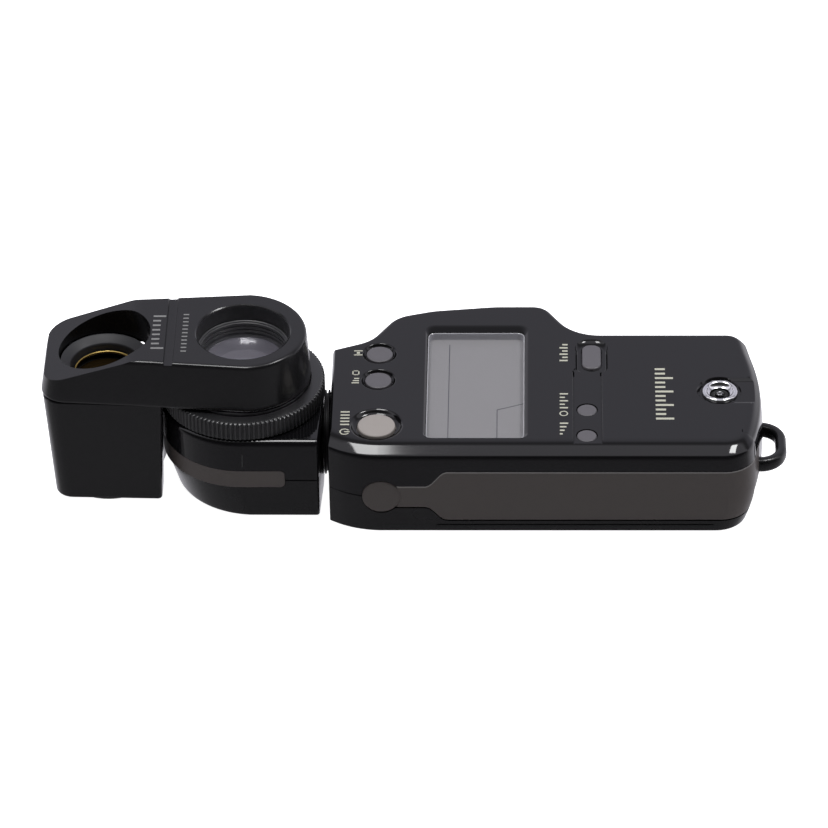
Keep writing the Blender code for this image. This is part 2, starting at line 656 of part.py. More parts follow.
def receptor():
    """Light-measuring stack under the attachment seat."""
    centre = (HEAD_X, AXIS_Y, 0)
    seat = [(9.8, 20.4), (14.6, 20.4), (14.6, 21.7), (12.6, 21.7), (12.6, 26.4), (9.8, 26.4)]
    make("mount_seat", turned(seat, centre, hollow=True), STEEL)
    make("correction_filter", disc(9.4, 22.2, 23.8, centre, parts=24), FILTER)
    make("photocell", turned([(0, 15.4), (5.0, 15.4), (5.0, 16.4), (4.3, 16.4), (4.3, 19.0),
                              (0, 19.0)], centre, parts=24), SILICON)
    board = box_corners(HEAD_X - 11.0, HEAD_X + 10.0, AXIS_Y - 10.0, AXIS_Y + 10.0, 2.0)
    make("photocell_board", prism(board, 14.0, 15.1, 45), BOARD_GREEN)
    ring = [(RING_BORE, RING_LOW), (RING_RADIUS, RING_LOW), (RING_RADIUS, RING_TOP - 0.8),
            (RING_RADIUS - 0.8, RING_TOP), (RING_BORE, RING_TOP)]
    make("locking_ring", turned(ring, centre, parts=48, hollow=True), BLACK_SIDE,
         (HEAD_X, AXIS_Y, RING_LOW))


# ------------------------------------------------------------------ viewfinder
def finder_corners(shift=0.0):
    """Plan of the upper housing: round over the metering lens, tapering to the sighting end.

    The sighting end leans inwards as it rises, by shift.
    """
    radius = 16.9
    arc = []
    for degrees in range(-84, 85, 12):
        angle = math.radians(degrees)
        arc.append((LENS_X + radius * math.cos(angle), AXIS_Y + radius * math.sin(angle), 0.0))
    waist = 14.3
    end = 13.6
    left = FINDER_LEFT + shift
    return ([(left, AXIS_Y - end, 6.0), (-68.0, AXIS_Y - waist, 40.0)] + arc
            + [(-68.0, AXIS_Y + waist, 40.0), (left, AXIS_Y + end, 6.0)])


def finder_top():
    wall = 1.7
    inner_top = FINDER_TOP - 1.7
    steps = [(wall + 0.4, inner_top, 0.9), (wall + 0.4, FINDER_LOW, 0.0), (0.0, FINDER_LOW, 0.0),
             (0.25, 35.0, 0.3), (0.8, 42.6, 1.4), (1.0, 43.1, 1.5), (1.5, FINDER_TOP, 1.6)]
    loops = [level(plan_points(finder_corners(shift), inset), z) for inset, z, shift in steps]
    cover = make("finder_upper_cover", loft(loops), BLACK)
    # sloping brow over the sighting end: the inside follows the outside
    brow = [Vector((-70.5, FINDER_TOP)), Vector((-100.0, FINDER_TOP - 29.5 * math.tan(0.30))),
            Vector((-100.0, 50.0)), Vector((-70.5, 50.0))]
    near = [Vector((p.x, AXIS_Y - 25, p.y)) for p in brow]
    far = [Vector((p.x, AXIS_Y + 25, p.y)) for p in brow]
    bm = loft([near, far])
    bmesh.ops.recalc_face_normals(bm, faces=bm.faces)
    # material under the brow, so that the slope keeps a wall
    liner = box_corners(FINDER_LEFT + 2.2, -64.6, AXIS_Y - 12.4, AXIS_Y + 12.4, 4.6)
    boolean(cover, prism(liner, 34.9, inner_top + 0.5, 30), "UNION")
    boolean(cover, bm)
    boolean(cover, disc(SIGHT_BORE, 30.0, 50.0, (SIGHT_X, AXIS_Y, 0), parts=40))
    boolean(cover, disc(LENS_BORE, 38.0, 50.0, (LENS_X, AXIS_Y, 0), parts=40))
    boolean(cover, prism(box_corners(-62.6, -60.4, AXIS_Y - 25, AXIS_Y + 25, 0.0), 42.8, 50.0))


def finder_lower():
    """Box that carries the sighting optics down beside the head."""
    half = 13.5
    plan_top = [(-93.9, AXIS_Y - half, 4.5), (-63.4, AXIS_Y - half, 1.2),
                (-63.4, AXIS_Y + half, 1.2), (-93.9, AXIS_Y + half, 4.5)]
    plan_low = [(-92.0, AXIS_Y - half + 0.4, 4.5), (-64.6, AXIS_Y - half + 0.4, 1.2),
                (-64.6, AXIS_Y + half - 0.4, 1.2), (-92.0, AXIS_Y + half - 0.4, 4.5)]
    top = FINDER_LOW - GAP
    low = 0.6
    wall = 1.5

    def floor_loop(inset, height):
        """Loop near the bottom, which falls slightly towards the head."""
        points = plan_points(plan_low, inset)
        return [Vector((p.x, p.y, height - 0.035 * (p.x + 77.0))) for p in points]

    loops = [floor_loop(0.9, low), floor_loop(0.3, low + 0.25), floor_loop(0.0, low + 1.0),
             level(plan_points(plan_top, 0.0), top), level(plan_points(plan_top, wall), top),
             floor_loop(wall + 0.2, low + 1.6)]
    box = make("finder_lower_box", loft(loops), BLACK_SIDE)
    boolean(box, disc(HEAD_RADIUS + 0.9, -2.0, 40.0, (HEAD_X, AXIS_Y, 0), parts=72))
    seat = [(0, -2.0), (12.7, -2.0), (12.7, 1.3), (10.6, 1.3), (10.6, 5.0), (0, 5.0)]
    boolean(box, turned(seat, (SIGHT_X, AXIS_Y, 0), parts=36))
    # flat inner wall that closes the scoop
    web = box_corners(-67.6, -66.0, AXIS_Y - half + 1.0, AXIS_Y + half - 1.0, 0.0)
    boolean(box, prism(web, low + 1.0, top - 0.2), "UNION")


def finder_base():
    corners = finder_corners()
    clear = 2.1 + GAP
    plate = make("finder_base_plate", stepped(corners, [(clear, FINDER_LOW + 0.1),
                                                        (clear, FINDER_LOW + 1.7)]), BLACK)
    boolean(plate, prism(box_corners(-110.0, -63.6, 0.0, 60.0, 0.0), 25.0, 35.0))
    boolean(plate, disc(12.2, 25.0, 35.0, (LENS_X, AXIS_Y, 0), parts=36))
    sleeve = [(13.0, RING_LOW), (17.1, RING_LOW), (17.1, FINDER_LOW - GAP),
              (13.0, FINDER_LOW - GAP)]
    make("mount_sleeve", turned(sleeve, (HEAD_X, AXIS_Y, 0), parts=28, hollow=True), STEEL)


def dished_lens(radius, low, edge_low, edge_high, high):
    """Biconvex lens as (radius, height) points from its lower to its upper vertex."""
    profile = [(0, low)]
    for share in (0.5, 1.0):
        profile.append((radius * share, low + (edge_low - low) * share ** 2))
    for share in (1.0, 0.5):
        profile.append((radius * share, high + (edge_high - high) * share ** 2))
    profile.append((0, high))
    return profile


def optics():
    lens = (LENS_X, AXIS_Y, 0)
    sight = (SIGHT_X, AXIS_Y, 0)
    barrel = [(10.2, 30.4), (11.9, 30.4), (11.9, 38.9), (11.25, 38.9), (11.25, 34.6),
              (10.2, 34.6)]
    make("metering_lens_barrel", turned(barrel, lens, parts=24, hollow=True), BLACK)
    make("metering_lens", turned(dished_lens(10.9, 33.4, 34.9, 35.6, 36.9), lens), GLASS)

    bezel = [(8.6, 30.2), (11.4, 30.2), (11.4, 34.6), (9.0, 33.4), (8.6, 33.4)]
    make("objective_bezel", turned(bezel, sight, parts=24, hollow=True), BLACK)
    make("objective_trim", tube(8.3, 7.6, 31.5, 31.9, sight), BRASS)
    make("objective_lens", turned(dished_lens(8.3, 26.6, 28.0, 29.0, 31.0), sight), GLASS)
    make("reticle", disc(8.0, 17.0, 18.2, sight), CLEAR)
    make("erecting_lens", turned(dished_lens(8.0, 9.4, 10.6, 11.4, 12.6), sight), GLASS)
    barrel = [(8.8, 4.8), (10.1, 4.8), (10.1, 28.6), (8.8, 28.6)]
    make("sight_tube", turned(barrel, sight, parts=24, hollow=True), BLACK)
    eyepiece = [(7.4, 0.0), (12.0, 0.0), (12.4, 0.4), (12.4, 1.0), (10.2, 1.0), (10.2, 4.5),
                (7.4, 4.5)]
    make("eyepiece_ring", turned(eyepiece, sight, parts=24, hollow=True), RUBBER)
    make("eyepiece_lens", turned(dished_lens(7.0, 1.2, 2.0, 3.4, 4.4), sight), GLASS)


def main():
    clear_scene()
    front_cover()
    rear_cover()
    battery_cover()
    grip_inlay()
    display()
    boards()
    round_key("power_button", POWER, PALE_KEY)
    round_key("average_button", AVERAGE, GREY_KEY)
    round_key("memory_button", MEMORY, GREY_KEY)
    round_key("fnumber_button", FNUMBER, GREY_KEY)
    round_key("film_speed_button", FILM_SPEED, GREY_KEY)
    mode_key()
    trigger()
    rocker()
    battery()
    sync_socket()
    strap_ring()
    for k, (x, y) in enumerate(SCREWS, 1):
        screw(f"case_screw_{k}", x, y, 0.1, 9.0)
    neck()
    head()
    receptor()
    finder_top()
    finder_lower()
    finder_base()
    optics()


main()
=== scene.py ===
import math

import bmesh
import bpy
from mathutils import Matrix, Vector


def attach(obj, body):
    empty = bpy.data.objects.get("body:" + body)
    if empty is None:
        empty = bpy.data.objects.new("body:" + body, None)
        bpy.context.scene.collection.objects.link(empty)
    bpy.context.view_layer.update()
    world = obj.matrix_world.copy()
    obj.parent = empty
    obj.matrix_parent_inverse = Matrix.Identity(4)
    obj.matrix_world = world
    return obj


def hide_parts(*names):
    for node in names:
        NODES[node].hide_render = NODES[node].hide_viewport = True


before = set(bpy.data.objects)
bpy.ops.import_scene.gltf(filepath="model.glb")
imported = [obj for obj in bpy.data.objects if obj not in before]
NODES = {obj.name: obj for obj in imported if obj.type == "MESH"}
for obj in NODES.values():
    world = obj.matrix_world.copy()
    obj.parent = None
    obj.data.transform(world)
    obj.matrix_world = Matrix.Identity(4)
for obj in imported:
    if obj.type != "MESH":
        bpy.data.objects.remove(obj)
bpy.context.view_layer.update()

ORIGIN = Vector((0.2, 32.5, 0.0))
AXIS_Y = 26.2
NECK_Z = 12.0
BODY_LEFT = -21.5
BODY_RIGHT = 88.0
BODY_WIDTH = 52.2
BULGE_WIDTH = 65.0
BODY_TOP = 25.0
UNDER_TOP = 21.0
WALL = 2.0
PARTING = 10.6
HALF_SEAM = 0.08
END_MIDDLE = 26.0
END_RADIUS = 75.0
END_SWELL = 0.8
NOSE_RADIUS = 23.0
POWER = (-9.45, 11.5, 4.8)
AVERAGE = (-9.4, 31.0, 3.4)
MEMORY = (-9.3, 42.5, 3.4)
FNUMBER = (43.8, 18.1, 2.5)
FILM_SPEED = (43.7, 7.1, 2.5)
MODE = (42.65, 47.55, 36.1, 46.6, 2.2)
SOCKET = (77.65, 26.25)
TRIGGER = (-8.2, 10.7, 4.8)
KEY_GAP = 0.3
LCD = (3.0, 28.0, 6.2, 52.6, 1.9)
CASE_SCREWS = ((-16.8, 9.0), (-16.6, 41.4), (78.4, 8.2), (77.8, 45.6))
HEAD_SCREWS = ((-30.0, 12.0), (-30.0, 40.4))
HEAD_X = -43.6
HEAD_RADIUS = 21.0
HEAD_RIGHT = -23.4
HEAD_LOW = 0.8
HEAD_TOP = 24.0
HEAD_SEAM = 12.0
STRIP_Z = (9.9, 14.9)
STRIP_RIGHT = -32.5
LENS_X = -43.2
SIGHT_X = -78.4
FINDER_LEFT = -94.3
FINDER_LOW = 30.2
FINDER_TOP = 43.37
FINDER_HALF = 13.6
FINDER_ROUND = 16.9
BOX_HALF = 13.5


# ---- outlines
def plan(corners, inset=0.0, step=6.0):
    """Closed outline with filleted corners, moved inwards by inset.

    A corner is (x, y, radius) or (x, y, radius, share): share scales the inset of the edge
    that starts there.
    """
    points = []
    count = len(corners)
    for i, corner in enumerate(corners):
        here = Vector(corner[:2])
        radius = corner[2]
        before = corners[i - 1]
        back = (here - Vector(before[:2])).normalized()
        ahead = (Vector(corners[(i + 1) % count][:2]) - here).normalized()
        normal_a = Vector((-back.y, back.x))
        normal_b = Vector((-ahead.y, ahead.x))
        move_a = inset * (before[3] if len(before) > 3 else 1.0)
        move_b = inset * (corner[3] if len(corner) > 3 else 1.0)
        dot = normal_a.dot(normal_b)
        if abs(move_a - move_b) < 1e-9:
            here = here + move_a * (normal_a + normal_b) / (1.0 + dot)
        else:
            here = here + ((move_a - move_b * dot) * normal_a
                           + (move_b - move_a * dot) * normal_b) / (1.0 - dot * dot)
        turn = math.atan2(back.cross(ahead), back.dot(ahead))
        if not radius:
            points.append(here)
            continue
        radius = max(radius - math.copysign((move_a + move_b) / 2, turn), 0.2)
        tangent = radius * math.tan(abs(turn) / 2)
        arm = -Vector((-back.y, back.x)) * math.copysign(radius, turn)
        centre = here - back * tangent - arm
        parts = max(2, math.ceil(math.degrees(abs(turn)) / step))
        for k in range(parts + 1):
            angle = turn * k / parts
            spun = Vector((arm.x * math.cos(angle) - arm.y * math.sin(angle),
                           arm.x * math.sin(angle) + arm.y * math.cos(angle)))
            points.append(centre + spun)
    return points


def oblong(left, right, near, far, radius):
    return [(left, near, radius), (right, near, radius), (right, far, radius),
            (left, far, radius)]


def swell(z):
    """Outward bulge of the strap end at a height: fullest near the parting line."""
    fullest = 12.0
    if z < fullest:
        return END_SWELL - 2.4 * ((fullest - z) / fullest) ** 2
    return max(END_SWELL * (1.0 - ((z - fullest) / 11.0) ** 2), -0.1)


def body_corners(bulge=0.0):
    """Outline of the grip body; bulge pushes the strap end outwards.

    The roll round the top edge is full size on the near side only, so the other edges have a
    share of it.
    """
    end_share, far_share, left_share = 0.5, 0.38, 0.16
    nose = []
    for degrees in range(29, 0, -3):
        angle = math.radians(degrees)
        nose.append((-8.0 - NOSE_RADIUS * math.sin(angle), NOSE_RADIUS * (1.0 - math.cos(angle)),
                     0.0))
    bow = []
    for k in range(15):
        y = 8.0 + 2.5 * k
        back = (y - END_MIDDLE) ** 2 / (2 * END_RADIUS)
        bow.append((BODY_RIGHT + bulge - back, y, 0.0, end_share))
    far = [(x, y, radius, far_share) for x, y, radius in (
        (84.4 + bulge, BODY_WIDTH, 5.0), (41.2, BODY_WIDTH, 11.0), (33.4, BULGE_WIDTH, 6.0),
        (20.0, BULGE_WIDTH, 25.0), (4.0, 63.1, 20.0), (-6.0, 60.1, 9.5), (-12.4, 49.4, 9.0))]
    left = [(BODY_LEFT, 45.6, 1.2, left_share), (BODY_LEFT, 4.35, 0.6)]
    return nose + [(85.7 + bulge, 0.0, 8.0, end_share)] + bow + far + left


# ---- solids
def level(points, z):
    """Outline points laid at a height."""
    return [Vector((p[0], p[1], z)) for p in points]


def loft(loops, closed=False):
    """Solid through loops of equal length: capped, or closed on itself as a ring."""
    bm = bmesh.new()
    rows = [[bm.verts.new(p) for p in loop] for loop in loops]
    count = len(rows[0])
    pairs = list(zip(rows, rows[1:]))
    if closed:
        pairs.append((rows[-1], rows[0]))
    for low, high in pairs:
        for i in range(count):
            j = (i + 1) % count
            bm.faces.new((low[i], low[j], high[j], high[i]))
    if not closed:
        bm.faces.new(list(reversed(rows[0])))
        bm.faces.new(rows[-1])
    bmesh.ops.recalc_face_normals(bm, faces=bm.faces)
    return bm


def stepped(corners, steps, step=6.0, closed=False):
    """Upright loft of one outline; steps are (inset, height), step the fillets' degrees."""
    return loft([level(plan(corners, inset, step), z) for inset, z in steps], closed)


def turned(profile, centre, axis="Z", parts=64, hollow=False):
    """Solid of revolution of (radius, height) points; hollow closes the profile on itself."""
    bm = bmesh.new()
    rows = []
    for radius, height in profile:
        ring = []
        for k in range(1 if radius == 0 else parts):
            angle = math.tau * k / parts
            u = radius * math.cos(angle)
            v = radius * math.sin(angle)
            offset = {"X": (height, u, v), "Y": (u, height, v), "Z": (u, v, height)}[axis]
            ring.append(bm.verts.new(Vector(centre) + Vector(offset)))
        rows.append(ring)
    pairs = list(zip(rows, rows[1:]))
    if hollow:
        pairs.append((rows[-1], rows[0]))
    for low, high in pairs:
        for i in range(parts):
            j = (i + 1) % parts
            corners = [low[i % len(low)], low[j % len(low)], high[j % len(high)],
                       high[i % len(high)]]
            unique = list(dict.fromkeys(corners))
            if len(unique) > 2:
                bm.faces.new(unique)
    bmesh.ops.recalc_face_normals(bm, faces=bm.faces)
    return bm


def arc(centre_r, centre_z, radius, start, end, parts=5):
    """Profile points on an arc, for the rounded edge of a turned piece."""
    points = []
    for k in range(parts + 1):
        angle = math.radians(start + (end - start) * k / parts)
        points.append((centre_r + radius * math.cos(angle), centre_z + radius * math.sin(angle)))
    return points


def shape(bm, name="shape"):
    """Turn a mesh under construction into a scene object."""
    mesh = bpy.data.meshes.new(name)
    bm.to_mesh(mesh)
    bm.free()
    obj = bpy.data.objects.new(name, mesh)
    bpy.context.scene.collection.objects.link(obj)
    return obj


def cut(obj, bm, operation="DIFFERENCE"):
    """Boolean with a throwaway tool, applied at once."""
    tool = shape(bm, "tool")
    modifier = obj.modifiers.new("cut", "BOOLEAN")
    modifier.operation = operation
    modifier.solver = "EXACT"
    modifier.object = tool
    graph = bpy.context.evaluated_depsgraph_get()
    mesh = bpy.data.meshes.new_from_object(obj.evaluated_get(graph))
    obj.modifiers.clear()
    obj.data = mesh
    bpy.data.objects.remove(tool, do_unlink=True)


def finish(obj, name, material, body, nodes=(), sharp=34.0):
    """Name the piece, bring it into the row frame and put it on its body."""
    if isinstance(obj, bmesh.types.BMesh):
        obj = shape(obj)
    obj.name = name
    mesh = obj.data
    mesh.name = name
    mesh.transform(Matrix.Scale(0.001, 4) @ Matrix.Translation(-ORIGIN))
    mesh.materials.clear()
    mesh.materials.append(material)
    mesh.shade_smooth()
    mesh.set_sharp_from_angle(angle=math.radians(sharp))
    weighted = obj.modifiers.new("even_normals", "WEIGHTED_NORMAL")
    weighted.keep_sharp = True
    weighted.weight = 90
    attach(obj, body)
    if nodes:
        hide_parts(*nodes)


# ---- materials
def surface(name, colour, rough, metal=0.0, specular=0.5, grain=0.3, relief=0.004,
            transmission=0.0):
    """Moulded or finished surface: fine grain in relief and colour, broad drift in gloss.

    grain and relief are in millimetres; vary is the share by which gloss drifts.
    """
    vary = 0.1
    material = bpy.data.materials.new(name)
    material.use_nodes = True
    tree = material.node_tree
    shader = tree.nodes["Principled BSDF"]
    shader.inputs["Metallic"].default_value = metal
    shader.inputs["Specular IOR Level"].default_value = specular
    shader.inputs["Transmission Weight"].default_value = transmission
    shader.inputs["IOR"].default_value = 1.5
    place = tree.nodes.new("ShaderNodeTexCoord")
    fine = tree.nodes.new("ShaderNodeTexNoise")
    fine.inputs["Scale"].default_value = 1000.0 / grain
    fine.inputs["Detail"].default_value = 3.0
    fine.inputs["Roughness"].default_value = 0.6
    tree.links.new(place.outputs["Object"], fine.inputs["Vector"])
    bump = tree.nodes.new("ShaderNodeBump")
    bump.inputs["Strength"].default_value = 0.5
    bump.inputs["Distance"].default_value = relief * 0.001
    tree.links.new(fine.outputs["Fac"], bump.inputs["Height"])
    tree.links.new(bump.outputs["Normal"], shader.inputs["Normal"])
    broad = tree.nodes.new("ShaderNodeTexNoise")
    broad.inputs["Scale"].default_value = 90.0
    broad.inputs["Detail"].default_value = 4.0
    tree.links.new(place.outputs["Object"], broad.inputs["Vector"])
    gloss = tree.nodes.new("ShaderNodeMapRange")
    gloss.inputs["From Min"].default_value = 0.3
    gloss.inputs["From Max"].default_value = 0.7
    gloss.inputs["To Min"].default_value = rough * (1 - vary)
    gloss.inputs["To Max"].default_value = min(rough * (1 + vary), 1.0)
    tree.links.new(broad.outputs["Fac"], gloss.inputs["Value"])
    tree.links.new(gloss.outputs["Result"], shader.inputs["Roughness"])
    tint = tree.nodes.new("ShaderNodeMix")
    tint.data_type = "RGBA"
    factor, dark, light = tint.inputs[0], tint.inputs[6], tint.inputs[7]
    dark.default_value = (*(c * (1 - vary * 0.6) for c in colour), 1.0)
    light.default_value = (*(min(c * (1 + vary * 0.6), 1.0) for c in colour), 1.0)
    tree.links.new(fine.outputs["Fac"], factor)
    tree.links.new(tint.outputs[2], shader.inputs["Base Color"])
    return material


def clear(name, colour, head_on):
    """Thin clear plastic: see-through, glossier at a slant; head_on is its least gloss."""
    material = bpy.data.materials.new(name)
    material.use_nodes = True
    tree = material.node_tree
    tree.nodes.remove(tree.nodes["Principled BSDF"])
    through = tree.nodes.new("ShaderNodeBsdfTransparent")
    through.inputs["Color"].default_value = (*colour, 1.0)
    gloss = tree.nodes.new("ShaderNodeBsdfGlossy")
    gloss.inputs["Roughness"].default_value = 0.04
    angle = tree.nodes.new("ShaderNodeLayerWeight")
    steep = tree.nodes.new("ShaderNodeMath")
    steep.operation = "POWER"
    steep.inputs[1].default_value = 4.0
    tree.links.new(angle.outputs["Facing"], steep.inputs[0])
    least = tree.nodes.new("ShaderNodeMapRange")
    least.inputs["To Min"].default_value = head_on
    tree.links.new(steep.outputs["Value"], least.inputs["Value"])
    mix = tree.nodes.new("ShaderNodeMixShader")
    tree.links.new(least.outputs["Result"], mix.inputs[0])
    tree.links.new(through.outputs["BSDF"], mix.inputs[1])
    tree.links.new(gloss.outputs["BSDF"], mix.inputs[2])
    tree.links.new(mix.outputs["Shader"], tree.nodes["Material Output"].inputs["Surface"])
    return material


BLACK = surface("satin_black", (0.0034, 0.0033, 0.0038), 0.07, relief=0.0003)
BLACK_SIDE = surface("satin_black_rear", (0.0040, 0.0040, 0.0044), 0.26)
FINDER_BLACK = surface("satin_black_finder", (0.0058, 0.0057, 0.0062), 0.2, specular=0.46,
                       relief=0.0015)
BLACK_MATT = surface("matt_black", (0.005, 0.005, 0.0055), 0.5, specular=0.25)
RING_GREY = surface("ring_grey", (0.014, 0.014, 0.015), 0.3, specular=0.6)
INDEX_GREY = surface("index_grey", (0.016, 0.016, 0.017), 0.5, specular=0.3)
# Grey of the metering well's lining: painted light on a wall that lies in shade.
WELL_PAINTED_LIGHT = surface("well_painted_light", (0.030, 0.030, 0.032), 0.45, specular=0.4)
BARREL = surface("barrel_grey", (0.055, 0.055, 0.058), 0.3, specular=0.8)
CONE = surface("cone_grey", (0.030, 0.030, 0.033), 0.5, specular=0.3)
GRIP = surface("grip_brown", (0.038, 0.0317, 0.030), 0.42, specular=0.4, grain=0.35,
               relief=0.01)
# Light brown of the strip along the grip's top edge: a painted highlight, not the grip's own
# colour.
GRIP_TOP_PAINTED_HIGHLIGHT = surface("grip_edge_painted_highlight", (0.105, 0.100, 0.098), 0.4, specular=0.4)
GREY_KEY = surface("grey_key", (0.092, 0.088, 0.096), 0.40)
PALE_KEY = surface("pale_key", (0.298, 0.274, 0.254), 0.40)
INK = surface("pale_ink", (0.46, 0.46, 0.38), 0.6, specular=0.3, grain=0.1)
GREY_INK = surface("grey_ink", (0.20, 0.20, 0.20), 0.6, specular=0.2, grain=0.1)
PANEL = surface("display_glass", (0.259, 0.255, 0.242), 0.35, specular=0.2)
LINE = surface("display_line", (0.06, 0.06, 0.065), 0.4, specular=0.2)
WINDOW = clear("clear_window", (0.96, 0.96, 0.975), 0.03)
# Pale colour of the window's rim: a painted highlight for the light on its bevelled edge.
WINDOW_RIM_PAINTED_HIGHLIGHT = surface("window_rim_painted_highlight", (0.42, 0.42, 0.44), 0.15, specular=0.6)
CHROME = surface("bright_plate", (0.80, 0.80, 0.82), 0.12, metal=1.0, grain=0.4, relief=0.002)
DARK_STEEL = surface("dark_steel", (0.16, 0.16, 0.17), 0.3, metal=1.0)
STEEL = surface("plain_steel", (0.45, 0.45, 0.47), 0.32, metal=1.0)
BRASS = surface("gilt_ring", (0.62, 0.44, 0.14), 0.28, metal=1.0)
LENS = surface("coated_lens", (0.93, 0.95, 0.97), 0.01, transmission=1.0, relief=0.0002)
DOME = clear("lens_dome", (0.97, 0.97, 0.98), 0.03)
AMBER = surface("amber_lens", (0.010, 0.006, 0.002), 0.06, relief=0.0002, specular=0.12)
DIFFUSER = surface("pale_diffuser", (0.125, 0.120, 0.136), 0.09, relief=0.0004, specular=0.6)
BOARD = surface("board_green", (0.02, 0.16, 0.07), 0.45)
RUBBER = surface("soft_rubber", (0.02, 0.02, 0.021), 0.8, specular=0.2, grain=0.5, relief=0.03)
NYLON = surface("natural_nylon", (0.66, 0.65, 0.60), 0.5)
FILTER = surface("filter_glass", (0.10, 0.26, 0.45), 0.05, transmission=0.7)
SILICON = surface("silicon", (0.04, 0.05, 0.09), 0.2, metal=0.2)
WRAP = surface("cell_wrap", (0.08, 0.10, 0.14), 0.3, metal=0.3)


# ---- grip body
# Stations along the near side: round the measuring key's rim, through the taper, then plain.
RIM_STATIONS = (-2.9, -2.2, -1.2, 0.2)
TAPER_STATIONS = (1.6, 3.0, 3.9, 4.6, 5.3, 6.0, 6.7, 7.4, 8.3)
STATIONS = RIM_STATIONS + TAPER_STATIONS + (10.0, 30.0, 55.0)


def grip_path(depth):
    """Line at a depth along the near side and round the strap-end corner."""
    corner = [p for p in plan(body_corners(), depth) if p.x > 60.0 and p.y < 14.0]
    return ([Vector((x, depth)) for x in STATIONS]
            + [(a + b) / 2 for a, b in zip(corner, corner[1:])])


def grip_heights(x):
    """Low and high edge of the grip: narrow at the measuring key, then wider."""
    start, stop = 3.0, 8.3
    share = min(max((x - start) / (stop - start), 0.0), 1.0)
    blend = share * share * (3 - 2 * share)
    narrow, wide = (7.3, 14.0), (3.3, 18.5)
    return [a + (b - a) * blend for a, b in zip(narrow, wide)]


def grip_band(section, margin=0.0):
    """Strip along the grip; section lists (depth, share of height, shift of height)."""
    reference = grip_path(0.0)
    paths = [grip_path(depth) for depth, share, shift in section]
    key_x, key_z, key_radius = TRIGGER
    reach = key_radius + KEY_GAP - margin
    first, last = RIM_STATIONS[0], RIM_STATIONS[-1]
    loops = []
    for i, here in enumerate(reference):
        low, high = grip_heights(here.x)
        low, high = low - margin, high + margin
        loop = []
        for path, (depth, share, shift) in zip(paths, section):
            z = low + (high - low) * share + shift
            point = Vector((path[i].x, path[i].y, z))
            if i < len(RIM_STATIONS):
                rim = key_x + math.sqrt(max(reach ** 2 - (z - key_z) ** 2, 0.0))
                point.x = rim + (path[i].x - first) * (last - rim) / (last - first)
            if i >= len(STATIONS):
                point.x += swell(z)
            if i == len(reference) - 1:
                point.y += margin
            loop.append(point)
        loops.append(loop)
    return loft(loops)


def grip_section(outer, inner, ledge):
    """Section of the grip: a flat face between two narrow ledges."""
    face = [(outer, k / 8, 0.0) for k in range(9)]
    if ledge:
        end = 0.52
        low = [(outer + ledge, 0.0, 0.03), (outer + ledge * 0.13, 0.0, 0.25),
               (outer + ledge * 0.03, 0.0, 0.38)]
        high = [(depth, 1.0, -shift) for depth, share, shift in reversed(low)]
        face = low + [(outer, 0.0, end)] + face[1:-1] + [(outer, 1.0, -end)] + high
    return face + [(inner, 1.0, 0.0), (inner, 0.0, 0.0)]


def shared_cuts(cover):
    """Openings that cross the parting line: grip, measuring key, neck and strap slots."""
    cut(cover, grip_band(grip_section(-1.5, 0.95, 0.0), 0.12))
    x, z, radius = TRIGGER
    bore, flange = radius + 0.16, radius + 1.6
    steps = [(0, -3.0), (bore, -3.0), (bore, 2.15), (flange, 2.15), (flange, 5.0), (0, 5.0)]
    cut(cover, turned(steps, (x, 0, z), "Y"))
    neck = 9.3
    cut(cover, turned([(0, -4.0), (neck, -4.0), (neck, 4.5), (0, 4.5)],
                      (BODY_LEFT, AXIS_Y, NECK_Z), "X"))
    for near in (11.9, 26.8):
        slot = oblong(80.5, 91.0, near, near + 3.3, 0.6)
        cut(cover, stepped(slot, [(0, 8.9), (0, 13.1)], 20))


def window_opening(cover):
    """Opening for the window, with a flare that is widest on the far side."""
    left, right, near, far, radius = LCD
    cut(cover, stepped(oblong(left, right, near, far, radius), [(0, 20.0), (0, 25.4)]))
    flare = []
    for share, z in ((0.0, 24.0), (0.0, 24.42), (0.12, 24.52), (0.3, 24.62), (0.6, 24.78),
                     (0.85, 24.91), (1.05, 24.98), (1.25, 25.01), (1.45, 25.3)):
        corners = oblong(left - 0.05 - 0.6 * share, right + 0.05 + 0.8 * share,
                         near - 0.05 - 0.35 * share, far + 0.05 + 2.3 * share,
                         radius + 0.5 * share)
        flare.append(level(plan(corners), z))
    cut(cover, loft(flare))


def dished_wells(cover):
    """Round wells of the three left keys; the power key's dish is wider and rounder."""
    for x, y, radius in (POWER, AVERAGE, MEMORY):
        rim = radius + KEY_GAP
        if radius == POWER[2]:
            dish = [(rim, 24.0), (5.5, 24.0), (5.9, 24.15), (6.25, 24.5), (6.5, 24.8),
                    (6.8, 24.97), (7.1, 25.02), (7.3, 25.2)]
        else:
            dish = [(rim, 24.1), (rim + 0.25, 24.2), (rim + 0.5, 24.55), (rim + 0.7, 24.88),
                    (rim + 0.95, 25.01), (rim + 1.1, 25.2)]
        profile = [(0, UNDER_TOP), (rim, UNDER_TOP)] + dish + [(0, 26.0)]
        cut(cover, turned(profile, (x, y, 0)))


def key_channel(cover):
    """Shallow channel between two slits, with the bores of its two small keys."""
    left, right, near = 40.5, 47.4, 3.5
    cut(cover, stepped(oblong(left, right, near, 36.0, 0.8), [(0.0, 24.8), (0.0, 25.3)]))
    for edge in (left, right):
        slit = oblong(edge - 0.16, edge + 0.16, near, 34.6, 0.0)
        cut(cover, stepped(slit, [(0.0, 24.0), (0.0, 24.8), (-0.12, 24.95), (-0.2, 25.02),
                                  (-0.24, 25.3)]))
    for x, y, radius in (FNUMBER, FILM_SPEED):
        bore = radius + 0.22
        cut(cover, turned([(0, UNDER_TOP), (bore, UNDER_TOP), (bore, 26.0), (0, 26.0)],
                          (x, y, 0)))


